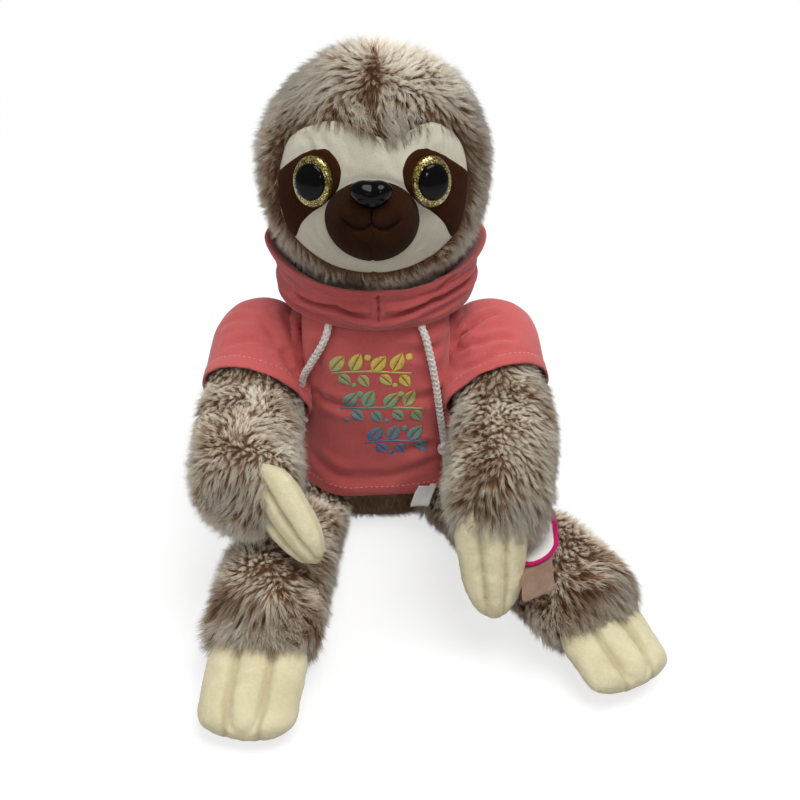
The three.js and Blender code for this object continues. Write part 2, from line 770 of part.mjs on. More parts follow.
const belowNeck = halfSpace(2, -1, neckHeight);

// A turned fastener on the face: its profile's axis runs outward from a place on the face
function turnedOnFace(profile, sides, place, outward, halfWidth = 1, halfHeight = 1) {
  const x = outward.clone().cross(point(0, 0, 1)).normalize();
  const z = x.clone().cross(outward);
  const placed = new THREE.Matrix4().makeBasis(x, outward, z).setPosition(place);
  const turned = new THREE.LatheGeometry(
    profile.map(([radius, out]) => new THREE.Vector2(radius, out)),
    sides,
  );
  return solid(turned.scale(halfWidth, 1, halfHeight).applyMatrix4(placed));
}
const outwardAt = (azimuth, elevation) =>
  point(
    Math.sin(degrees(azimuth)) * Math.cos(degrees(elevation)),
    -Math.cos(degrees(azimuth)) * Math.cos(degrees(elevation)),
    Math.sin(degrees(elevation)),
  );
function pin(place, outward, radius, from, to) {
  const profile = [[0, from], [radius, from], [radius, to], [0, to]];
  return turnedOnFace(profile, pinSides, place, outward);
}
function ring(place, outward, inner, outer, from) {
  const to = from + washerThickness;
  const profile = [[outer, from], [outer, to], [inner, to], [inner, from], [outer, from]];
  return turnedOnFace(profile, washerSides, place, outward);
}

const muzzleForm = (grow) =>
  solid(
    new THREE.SphereGeometry(1, muzzleSides, muzzleRows)
      .scale(muzzleHalfWidth + grow, muzzleHalfDepth + grow, muzzleHalfHeight + grow)
      .translate(0, -muzzleForward, headCentreHeight - muzzleDrop),
  );

const stemHoles = [];
const washerPockets = [];
const eyes = { right: -1, left: 1 };
for (const [name, side] of Object.entries(eyes)) {
  const height = headCentreHeight + eyeRise;
  const forward = Math.sqrt(headRadiusAt(height) ** 2 - eyeSide ** 2);
  const place = point(side * eyeSide, -forward, height);
  const outward = outwardAt(side * eyeAzimuth, eyeElevation);
  const seat = felt + seam * 2;
  const irisForm = (grow) => {
    const dome = irisProfileShares.map(([across, out]) => [across, seat + irisBulge * out + grow]);
    const profile = [[0, -seat], [1, -seat], ...dome];
    const [halfWidth, halfHeight] = [irisHalfWidth + grow, irisHalfHeight + grow];
    return turnedOnFace(profile, fastenerSides, place, outward, halfWidth, halfHeight);
  };
  const stem = pin(place, outward, stemRadius, -stemLength, seat + irisBulge / 2);
  const iris = irisForm(0).subtract(headForm(-seat)).add(stem);
  add("eye_iris_" + name, iris, goldGlitter);
  const pupilPlace = place.clone().addScaledVector(outward, seat + irisBulge);
  const pupil = solid(
    new THREE.SphereGeometry(1, pinSides, capRows * 2)
      .scale(pupilHalfWidth, pupilBulge, pupilHalfHeight)
      .applyMatrix4(layAlong(pupilPlace, outward, point(1, 0, 0))),
  );
  add("eye_pupil_" + name, pupil.subtract(irisForm(seam)), blackPlastic);
  const washerBack = -washerDepth - washerThickness;
  const washer = ring(place, outward, stemRadius + seam, washerRadius, washerBack);
  add("eye_washer_" + name, washer, clearPlastic);
  stemHoles.push(pin(place, outward, stemRadius + seam, -stemLength - seam, overrun));
  washerPockets.push(pin(place, outward, washerRadius + seam, washerBack - seam, 0));
}

add("head_skin", headShell(0, plush).subtract(faceOpening).subtract(belowNeck), fur);
add("face_panel", cutAll(headShell(0, plush).intersect(facePunchAll), stemHoles), palePlush);
const headStuffing = headForm(plush + seam).subtract(belowNeck);
add("head_fill", cutAll(headStuffing, [...stemHoles, ...washerPockets]), stuffing);
for (const [name, side] of Object.entries(eyes)) {
  const patchPunch = facePunch(onFace(patchOutlineShares, side));
  const patch = headShell(-seam - felt, -seam).intersect(patchPunch).intersect(facePunchAll);
  add("eye_patch_" + name, cutAll(patch, stemHoles).subtract(muzzleForm(seam)), darkFelt);
}

// Muzzle, nose and mouth
const nosePlace = point(0, -noseForward, headCentreHeight + noseRise);
const noseOutward = outwardAt(0, noseElevation);
const noseForm = (grow) => {
  const ball = new THREE.SphereGeometry(1, noseSides, noseRows);
  const flared = reshape(ball, (x, y, z) => point(x * (1 + noseFlareShare * z), y, z));
  flared.scale(noseHalfWidth + grow, noseHalfDepth + grow, noseHalfHeight + grow);
  return solid(flared.translate(nosePlace.x, nosePlace.y, nosePlace.z));
};
const noseStem = pin(nosePlace, noseOutward, stemRadius, -noseStemLength, 0);
const noseStemHole = pin(nosePlace, noseOutward, stemRadius + seam, -noseStemLength - seam, 0);
const noseWasherRadius = washerRadius * noseWasherShare;
const noseWasherBack = -noseWasherDepth - washerThickness;
const noseWasher = ring(nosePlace, noseOutward, stemRadius + seam, noseWasherRadius, noseWasherBack);
const noseWasherPocket = pin(
  nosePlace,
  noseOutward,
  noseWasherRadius + seam,
  noseWasherBack - seam,
  -noseWasherDepth + seam,
);
const seatedMuzzle = muzzleForm(0).subtract(headForm(-seam));
add("nose", noseForm(0).subtract(muzzleForm(seam)).add(noseStem), blackPlastic);
add("nose_washer", noseWasher, clearPlastic);
add("muzzle", cutAll(seatedMuzzle, [noseStemHole, noseWasherPocket]), darkFelt);

function onMuzzle(x, height) {
  const up = (height - headCentreHeight + muzzleDrop) / muzzleHalfHeight;
  const out = Math.sqrt(1 - (x / muzzleHalfWidth) ** 2 - up ** 2);
  return point(x, -muzzleForward - muzzleHalfDepth * out - seam - threadRadius, height);
}
const lipHeight = headCentreHeight - mouthDrop;
const noseBottom = nosePlace.z - noseHalfHeight;
const cleft = cleftShares.map((share) => onMuzzle(0, lerp(lipHeight, noseBottom, share)));
const lips = [-1, 1].map((side) =>
  mouthLineShares.map(([x, z]) => onMuzzle(side * x * mouthHalfWidth, lipHeight + z * mouthSag)),
);
const threads = [cleft, ...lips].map((places) =>
  solid(tube(new THREE.CatmullRomCurve3(places), threadRadius, threadSides, arcSides)),
);
add("mouth_stitch", joinAll(threads).subtract(noseForm(seam)), darkFelt);

// Drawstrings: braided cord from under the cowl down the front, laid on the cloth, a knot near each end
function onHoodie(x, height, out) {
  const share = clamp(height / torsoHeight, 0, 1);
  const drop = clamp((hoodieTop - height) / (hoodieTop - hemHeight), 0, 1);
  const offset = knitEase + knit + hemFoldDepth * drop ** 2 + out;
  const across = torsoHalfWidth * straight(torsoRingShares, share, 1) + offset;
  const deep = torsoHalfDepth * straight(torsoRingShares, share, 2) + offset;
  const bulge = (1 - Math.min(1, Math.abs(x) / across) ** hoodieSquareness) ** (1 / hoodieSquareness);
  return point(x, torsoLeanAt(height) - deep * bulge, height);
}
const hemAt = (x) => hemHeight + hemRise * (x / (torsoHalfWidth - knitEase)) ** 2;
const laidOut = (rows, out) => rows.map(([x, height]) => onHoodie(x, height, out));
const stringRoutes = {
  right: [
    [-25, 154],
    [-26, 147],
    [-28, 138],
    [-33.5, 124],
    [-38, 112],
    [-39, 98],
    [-38, 84],
    [-36.5, 70],
  ],
  left: [
    [26.3, 154],
    [28, 147],
    [30.5, 140],
    [34, 115],
    [36.5, 90],
    [38.5, 66],
    [39.5, 52],
  ],
};
for (const [name, route] of Object.entries(stringRoutes)) {
  const path = new THREE.CatmullRomCurve3(laidOut(route, stringRadius + stringStandOff));
  const laid = (grow) => solid(tube(path, stringRadius + grow, stringSides, stringRows));
  const cord = laid(0).subtract(cowlForm(seam));
  const place = path.getPointAt(knotShares[name]);
  const knot = new THREE.SphereGeometry(knotRadius, knotSides, knotRows);
  knot.scale(1, knotDepthShare, 1).translate(place.x, place.y - knotLift, place.z);
  add("drawstring_" + name, cord, cotton);
  add("drawstring_knot_" + name, solid(knot).subtract(laid(seam)), cotton);
}

// Care label: a folded ribbon sewn under the hem
const labelTop = onHoodie(labelSide, hemAt(labelSide) + labelSewn, labelStandOff);
const labelShape = new THREE.Shape();
const foldRadius = ribbon * ribbonFoldShare;
labelShape.absarc(0, 0, foldRadius, -Math.PI, 0);
labelShape.lineTo(foldRadius, labelLength);
labelShape.lineTo(ribbon / 2, labelLength);
labelShape.absarc(0, 0, ribbon / 2, 0, -Math.PI, true);
labelShape.lineTo(-ribbon / 2, labelLength);
labelShape.lineTo(-foldRadius, labelLength);
const ribbonFold = new THREE.ExtrudeGeometry(labelShape, {
  depth: labelWidth,
  bevelEnabled: false,
  curveSegments: arcSides,
});
ribbonFold.translate(0, -labelLength, -labelWidth / 2).rotateY(Math.PI / 2).rotateX(Math.PI / 2);
ribbonFold.translate(labelTop.x, labelTop.y, labelTop.z);
const roundHem = hoodieForm(knitEase - seam, knitEase + knit + seam);
add("care_label", solid(ribbonFold).subtract(roundHem), satin);

// Swing tags: two cards on one pin, slipped between the left arm and the thigh
const thigh = legs.left;
const tagReach = (leftWristForward * tagForwardShare - hipForward) / Math.cos(thigh.angle);
const thighShare = (hipRadius + tagReach) / (hipRadius + legReach);
const thighHalfHeight = legRadius * eased(legGirthShares, thighShare, 2);
const thighTop = thighHalfHeight * (1 + Math.sqrt(1 - tagInShare ** 2)) - flatDepth;
const tagPlace = thigh.hip
  .clone()
  .addScaledVector(thigh.ahead, tagReach)
  .addScaledVector(point(thigh.ahead.y, -thigh.ahead.x, 0), legRadius * tagInShare)
  .setZ(thighTop + tagLift);
const tagFrame = new THREE.Matrix4()
  .makeRotationY(-degrees(tagTilt))
  .multiply(new THREE.Matrix4().makeRotationZ(-degrees(tagTurn)))
  .setPosition(tagPlace);
function tagCard(width, length, corner, shift, level) {
  const left = shift - width / 2;
  const low = tagHoleInset - length + corner;
  const outline = new THREE.Shape();
  outline.moveTo(left, tagHoleInset);
  outline.lineTo(left, low);
  outline.absarc(left + corner, low, corner, Math.PI, (Math.PI * 3) / 2);
  outline.absarc(left + width - corner, low, corner, -Math.PI / 2, 0);
  outline.lineTo(left + width, tagHoleInset);
  outline.holes.push(new THREE.Path().absarc(0, 0, tagHoleRadius, 0, Math.PI * 2));
  const cardForm = new THREE.ExtrudeGeometry(outline, {
    depth: card,
    bevelEnabled: false,
    curveSegments: arcSides,
  });
  return solid(cardForm.translate(0, 0, level).applyMatrix4(tagFrame));
}
const edgeTagCorner = edgeTagWidth / 2 - seam;
const kraft = tagCard(kraftWidth, kraftLength, cardCorner, kraftShift, seam / 2);
const edged = tagCard(edgeTagWidth, edgeTagLength, edgeTagCorner, edgeTagShift, -card - seam / 2);
add("kraft_tag", kraft, kraftCard);
add("edge_tag", edged, glossCard);
const pinParts = [
  [pinRadius, -card - seam * 2, card + seam * 2],
  [pinHeadRadius, -card * 2 - seam * 2, -card - seam * 2],
];
const pinForms = pinParts.map(([radius, from, to]) =>
  solid(
    upright(new THREE.CylinderGeometry(radius, radius, to - from, limbSides))
      .translate(0, 0, (from + to) / 2)
      .applyMatrix4(tagFrame),
  ),
);
add("tag_pin", joinAll(pinForms), clearPlastic);

export default sloth;
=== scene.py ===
import math

import bmesh
import bpy
import numpy as np
from mathutils import Matrix, Vector, noise
from mathutils.bvhtree import BVHTree


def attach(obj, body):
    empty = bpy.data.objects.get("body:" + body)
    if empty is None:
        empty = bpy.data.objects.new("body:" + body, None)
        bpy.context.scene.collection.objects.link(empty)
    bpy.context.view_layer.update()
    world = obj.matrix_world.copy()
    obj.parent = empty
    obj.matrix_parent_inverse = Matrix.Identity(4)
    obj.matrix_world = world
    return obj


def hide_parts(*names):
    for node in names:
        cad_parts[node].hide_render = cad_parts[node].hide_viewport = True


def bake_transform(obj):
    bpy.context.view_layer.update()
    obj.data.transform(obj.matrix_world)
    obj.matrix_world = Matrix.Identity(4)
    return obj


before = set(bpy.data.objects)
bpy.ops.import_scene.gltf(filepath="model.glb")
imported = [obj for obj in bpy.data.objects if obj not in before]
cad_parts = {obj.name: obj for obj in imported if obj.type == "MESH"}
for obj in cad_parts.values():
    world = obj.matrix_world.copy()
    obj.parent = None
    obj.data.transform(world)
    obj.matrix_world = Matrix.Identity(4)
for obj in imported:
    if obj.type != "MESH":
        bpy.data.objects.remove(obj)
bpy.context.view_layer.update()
MM = 0.001


# Studio
# A pale floor that runs up into a backdrop, one wide soft lamp above, two soft fills and a small window
# lamp for the eyes. The camera stands where the photographer stood, a little above the toy.
class Graph:
    """A node tree wired by name. In an input's name an underscore stands for a space, and i1 is input 1."""

    def __init__(self, tree):
        self.tree = tree

    def add(self, kind, settings=(), **inputs):
        node = self.tree.nodes.new(kind)
        for name, value in dict(settings).items():
            setattr(node, name, value)
        self.set(node, **inputs)
        return node

    def set(self, node, **inputs):
        for name, value in inputs.items():
            key = int(name[1:]) if name[1:].isdigit() else name.replace("_", " ")
            self.feed(node.inputs[key], value)

    def feed(self, socket, value):
        if isinstance(value, bpy.types.NodeSocket):
            self.tree.links.new(value, socket)
        else:
            socket.default_value = value

    def math(self, operation, *values):
        node = self.add("ShaderNodeMath", {"operation": operation})
        for socket, value in zip(node.inputs, values):
            self.feed(socket, value)
        return node.outputs[0]

    def vector(self, operation, *values, scale=None):
        node = self.add("ShaderNodeVectorMath", {"operation": operation})
        for socket, value in zip(node.inputs, values):
            self.feed(socket, value)
        if scale is not None:
            self.feed(node.inputs["Scale"], scale)
        return node.outputs[0]

    def ramp(self, share, *stops):
        """A colour that runs through stops, each a position and a paint-chart colour."""
        node = self.add("ShaderNodeValToRGB", Fac=share)
        elements = node.color_ramp.elements
        for element, (position, colour) in zip(elements, (stops[0], stops[-1])):
            element.position, element.color = position, srgb(*colour)
        for position, colour in stops[1:-1]:
            elements.new(position).color = srgb(*colour)
        return node.outputs["Color"]

    def noise(self, place, scale, detail):
        return self.add("ShaderNodeTexNoise", Vector=place, Scale=scale, Detail=detail).outputs

    def place(self):
        """The place on the piece itself."""
        return self.add("ShaderNodeTexCoord").outputs["Object"]


def srgb(red, green, blue):
    """A colour given as paint-chart numbers from 0 to 255."""
    def straight(c):
        c /= 255
        return c / 12.92 if c <= 0.04045 else ((c + 0.055) / 1.055) ** 2.4
    return (straight(red), straight(green), straight(blue), 1)


def new_material(name):
    """A new material, its graph and its main shader."""
    material = bpy.data.materials.new(name)
    material.use_nodes = True
    return material, Graph(material.node_tree), material.node_tree.nodes["Principled BSDF"]


def studio_white(name, glow, paint):
    """White that keeps a soft shadow: part of it glows for the eye, the rest is plain matt paint."""
    material, g, shell = new_material(name)
    g.tree.nodes.clear()
    seen = g.add("ShaderNodeLightPath").outputs
    any_seen = g.math("MAXIMUM", seen["Is Camera Ray"], seen["Is Glossy Ray"])
    any_seen = g.math("MAXIMUM", any_seen, seen["Is Transmission Ray"])
    paper = g.add("ShaderNodeBsdfDiffuse", Color=(0.55, 0.55, 0.55, 1))
    tint = g.add("ShaderNodeBsdfDiffuse", Color=(paint, paint, paint, 1))
    shine = g.add("ShaderNodeEmission", Color=(1, 1, 1, 1), Strength=glow)
    both = g.add("ShaderNodeAddShader", i0=tint.outputs[0], i1=shine.outputs[0])
    apart = g.add("ShaderNodeSeparateXYZ", Vector=g.place())
    far = g.add("ShaderNodeMapRange", Value=apart.outputs["Y"], From_Min=0.15, From_Max=1.2)
    all_white = g.add("ShaderNodeEmission")
    shaded = g.add("ShaderNodeMixShader", Fac=far.outputs["Result"], i1=both.outputs[0], i2=all_white.outputs[0])
    mix = g.add("ShaderNodeMixShader", Fac=any_seen, i1=paper.outputs[0], i2=shaded.outputs[0])
    g.add("ShaderNodeOutputMaterial", Surface=mix.outputs[0])
    return material


def finished(name, form, smooth=True):
    """A mesh object of a worked form, at the origin, shaded smooth."""
    mesh = bpy.data.meshes.new(name)
    form.to_mesh(mesh)
    form.free()
    if smooth:
        mesh.shade_smooth()
    piece = bpy.data.objects.new(name, mesh)
    bpy.context.scene.collection.objects.link(piece)
    return piece


def of_kind(kind, made):
    return [g for g in made if isinstance(g, kind)]


def make_floor():
    half, bend, steps = 2.5, 0.6, 8
    form = bmesh.new()
    bmesh.ops.create_grid(form, x_segments=1, y_segments=1, size=half)
    far = [edge for edge in form.edges if all(v.co.y > 2 for v in edge.verts)]
    for turn in range(1, steps + 1):
        angle = math.radians(turn * 90 / steps)
        made = bmesh.ops.extrude_edge_only(form, edges=far)["geom"]
        for v in of_kind(bmesh.types.BMVert, made):
            v.co.y = half + bend * math.sin(angle)
            v.co.z = bend * (1 - math.cos(angle))
        far = of_kind(bmesh.types.BMEdge, made)
    made = bmesh.ops.extrude_edge_only(form, edges=far)["geom"]
    bmesh.ops.translate(form, verts=of_kind(bmesh.types.BMVert, made), vec=(0, 0, half))
    floor = finished("studio_floor", form)
    floor.data.materials.append(studio_white("studio_white", 0.72, 0.3))


def lamp(name, place, aim, size, power):
    light = bpy.data.lights.new(name, "AREA")
    light.shape = "DISK"
    light.size = size
    light.energy = power
    stand = bpy.data.objects.new(name, light)
    stand.location = place
    stand.rotation_euler = (Vector(aim) - Vector(place)).to_track_quat("-Z", "Y").to_euler()
    bpy.context.scene.collection.objects.link(stand)
    return stand


make_floor()
lamp("key_lamp", (0.3, -0.45, 1.5), (0, -0.05, 0.12), 1.0, 18.5)
side_lamp = lamp("side_lamp", (-1.1, -0.9, 0.75), (0, -0.05, 0.12), 0.9, 4)
side_lamp.visible_glossy = False
lamp("back_lamp", (0.1, 1.1, 1.0), (0, 0, 0.15), 0.9, 7)
lamp("window_lamp", (0.28, -1.05, 0.72), (0, -0.05, 0.2), 0.12, 1.0)

world = bpy.data.worlds.new("studio_air")
bpy.context.scene.world = world
world.use_nodes = True
air = Graph(world.node_tree)
seen = air.add("ShaderNodeLightPath").outputs["Is Camera Ray"]
level = air.add("ShaderNodeMapRange", Value=seen, To_Min=0.32, To_Max=1).outputs["Result"]
air.set(world.node_tree.nodes["Background"], Color=(1, 1, 1, 1), Strength=level)

lens = bpy.data.cameras.new("camera")
lens.lens = 45
lens.sensor_width = 36
camera = bpy.data.objects.new("camera", lens)
camera.location = (14 * MM, -546 * MM, 390.5 * MM)
camera.rotation_euler = (math.radians(60), 0, 0)
bpy.context.scene.collection.objects.link(camera)
bpy.context.scene.camera = camera
bpy.context.scene.view_settings.view_transform = "Standard"


# Torso
# A stuffed bag of brown-rooted plush, turned in plan to a soft square, leaning back to its seat.
# Its rings of half-width, half-depth and lean stand at shares of its height.
TORSO_HEIGHT = 159.7
TORSO_HALF_WIDTH = 50
TORSO_HALF_DEPTH = 47
TORSO_LEAN = 10
TORSO_INSET = 4
TORSO_RING_SHARES = np.array([
    [0, 0.68, 0.7, 1], [0.04, 0.87, 0.89, 1], [0.09, 0.96, 0.97, 1], [0.2, 1, 1, 1],
    [0.3, 0.93, 0.99, 0.9], [0.39, 0.84, 0.98, 0.75], [0.55, 0.84, 0.97, 0.5], [0.75, 0.84, 0.94, 0.25],
    [0.87, 0.82, 0.88, 0.1], [0.94, 0.72, 0.77, 0], [0.98, 0.6, 0.63, 0], [1, 0.5, 0.52, 0],
])


def rounded(value, exponent):
    """A sine or cosine eased between an ellipse and a box."""
    return math.copysign(abs(value) ** (2 / exponent), value)


def turns(count):
    """Even turns round a circle."""
    return [2 * math.pi * k / count for k in range(count)]


def torso_ring(height, offset):
    """The torso's half-width, half-depth and lean at a height, pushed out by an offset."""
    share = min(max(height / TORSO_HEIGHT, 0), 1)
    across, deep, lean = (np.interp(share, TORSO_RING_SHARES[:, 0], TORSO_RING_SHARES[:, k]) for k in (1, 2, 3))
    return TORSO_HALF_WIDTH * across + offset, TORSO_HALF_DEPTH * deep + offset, TORSO_LEAN * lean


def torso_point(angle, height, offset, squareness=3):
    """A point of the torso's skin, pushed out by an offset, in millimetres."""
    across, deep, lean = torso_ring(height, offset)
    return Vector((
        across * rounded(math.cos(angle), squareness),
        lean + deep * rounded(math.sin(angle), squareness),
        height,
    ))


def tube_of_rings(rings, closed_ends=True):
    """A tube drawn through rings of points, each ring extruded from the one before."""
    form = bmesh.new()
    made = bmesh.ops.create_circle(form, cap_ends=False, segments=len(rings[0]), radius=1)
    ring = sorted(made["verts"], key=lambda v: math.atan2(v.co.y, v.co.x) % (2 * math.pi))
    for v, place in zip(ring, rings[0]):
        v.co = place
    edges = list(form.edges)
    if closed_ends:
        bmesh.ops.contextual_create(form, geom=edges)
    for places in rings[1:]:
        grown = bmesh.ops.extrude_edge_only(form, edges=edges)["geom"]
        edges = of_kind(bmesh.types.BMEdge, grown)
        new = set(of_kind(bmesh.types.BMVert, grown))
        ring = [next(e.other_vert(v) for e in v.link_edges if e.other_vert(v) in new) for v in ring]
        for v, place in zip(ring, places):
            v.co = place
    if closed_ends:
        bmesh.ops.contextual_create(form, geom=edges)
    bmesh.ops.recalc_face_normals(form, faces=form.faces)
    return form


def worked(piece):
    """The piece's own mesh with its modifiers worked in."""
    graph = bpy.context.evaluated_depsgraph_get()
    mesh = bpy.data.meshes.new_from_object(piece.evaluated_get(graph))
    piece.modifiers.clear()
    piece.data = mesh
    mesh.shade_smooth()
    return piece


def places_of(mesh):
    """The mesh's points as rows of an array."""
    places = np.empty(len(mesh.vertices) * 3)
    mesh.vertices.foreach_get("co", places)
    return places.reshape(-1, 3)


def put_places(mesh, places):
    mesh.vertices.foreach_set("co", places.astype(np.float32).ravel())
    mesh.update()


def normals_of(mesh):
    normals = np.empty(len(mesh.vertices) * 3)
    mesh.vertex_normals.foreach_get("vector", normals)
    return normals.reshape(-1, 3)


def push_out(piece, move, places=None):
    """Moves a piece's points out along its normals, each by its own distance in metres."""
    if places is None:
        places = places_of(piece.data)
    put_places(piece.data, places + normals_of(piece.data) * move[:, None])


def stuffed(name, form, voxel, rounds=6, lumps=0.8, grow=0.0):
    """Stuffing fills a sewn skin: one even skin over the form, its corners eased, with slight lumps."""
    piece = finished(name, form)
    skin = piece.modifiers.new("skin", "REMESH")
    skin.mode = "VOXEL"
    skin.voxel_size = voxel * MM
    ease = piece.modifiers.new("ease", "SMOOTH")
    ease.factor = 0.5
    ease.iterations = rounds
    worked(piece)
    places = places_of(piece.data)
    push_out(piece, np.array([noise.noise(Vector(p) * 32) for p in places]) * lumps * MM + grow * MM, places)
    return piece


def solid_copy(node):
    """The form of one of the frame's own solids, with its loose faces joined."""
    form = bmesh.new()
    form.from_mesh(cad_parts[node].data)
    bmesh.ops.remove_doubles(form, verts=form.verts, dist=1e-6)
    return form


def settle(piece, body, node=None, material=None):
    """Gives a piece its material, the body that it rides on and the node it stands in for."""
    if material:
        piece.data.materials.append(material)
    if body:
        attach(piece, body)
    if node:
        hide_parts(node)


def node_group(name, kind, inputs, outputs):
    """A new node group with named sockets, each given with its kind, as a graph with its two ends."""
    group = bpy.data.node_groups.new(name, kind)
    for in_out, sockets in (("INPUT", inputs), ("OUTPUT", outputs)):
        for socket, value in sockets:
            group.interface.new_socket(name=socket, in_out=in_out, socket_type="NodeSocket" + value)
    g = Graph(group)
    return g, g.add("NodeGroupInput"), g.add("NodeGroupOutput")


def grain_group():
    """Cloth seen close: a fine fuzz as a height, and slow patches of tone, both over the piece itself."""
    g, inside, outside = node_group("cloth_fuzz", "ShaderNodeTree", (("Fuzz scale", "Float"), ("Patch scale", "Float")),
                                    (("Height", "Float"), ("Tone", "Float")))
    place = g.place()
    fuzz = g.add("ShaderNodeTexNoise", Vector=place, Scale=inside.outputs["Fuzz scale"], Detail=3, Roughness=0.7)
    patch = g.add("ShaderNodeTexNoise", Vector=place, Scale=inside.outputs["Patch scale"], Detail=4, Distortion=0.6)
    g.set(outside, Height=fuzz.outputs["Fac"], Tone=patch.outputs["Fac"])
    return g.tree


CLOTH_FUZZ = grain_group()


def plush_cloth(name, low, high, fuzz=900, patch=45, bump=0.25, sheen=0.3, roughness=0.9, shine=0.15, relief=None,
                depth=0.6):
    """Short cut pile or felt: a tone that drifts from low to high, a fine nap or a relief of its own,
    and a dusty sheen."""
    material, g, cloth = new_material(name)
    nap = g.add("ShaderNodeGroup", {"node_tree": CLOTH_FUZZ}, Fuzz_scale=fuzz, Patch_scale=patch).outputs
    blend = g.add("ShaderNodeMix", {"data_type": "FLOAT"}, Factor=0.35, A=nap["Tone"], B=nap["Height"])
    tones = g.ramp(blend.outputs["Result"], (0.3, low), (0.7, high))
    height = relief(g) if relief else nap["Height"]
    raised = g.add("ShaderNodeBump", Strength=bump, Distance=depth * MM, Height=height)
    g.set(cloth, Roughness=roughness, Sheen_Weight=sheen, Sheen_Roughness=0.5, Specular_IOR_Level=shine,
          Base_Color=tones, Normal=raised.outputs["Normal"])
    return material


FUR_BACKING = plush_cloth("fur_backing", (104, 70, 40), (140, 102, 62), fuzz=500, patch=60, bump=0.6)


def long_pile_material():
    """Frosted pile: brown at the roots, fading to pale tips, each fibre a little lighter or darker."""
    material, g, fibre = new_material("frosted_pile")
    along = g.add("ShaderNodeAttribute", {"attribute_name": "tip"}).outputs["Fac"]
    tone = g.add("ShaderNodeAttribute", {"attribute_name": "tone"}).outputs["Fac"]
    shift = g.add("ShaderNodeMapRange", Value=tone, To_Min=-0.36, To_Max=0.36).outputs["Result"]
    frost = g.ramp(g.math("ADD", along, shift), (0, (100, 66, 40)), (0.25, (126, 88, 58)), (0.45, (172, 140, 110)),
                   (0.66, (218, 201, 176)), (1, (244, 237, 222)))
    g.set(fibre, Roughness=0.65, Specular_IOR_Level=0.25, Sheen_Weight=0.15, Base_Color=frost)
    return material


FROSTED_PILE = long_pile_material()


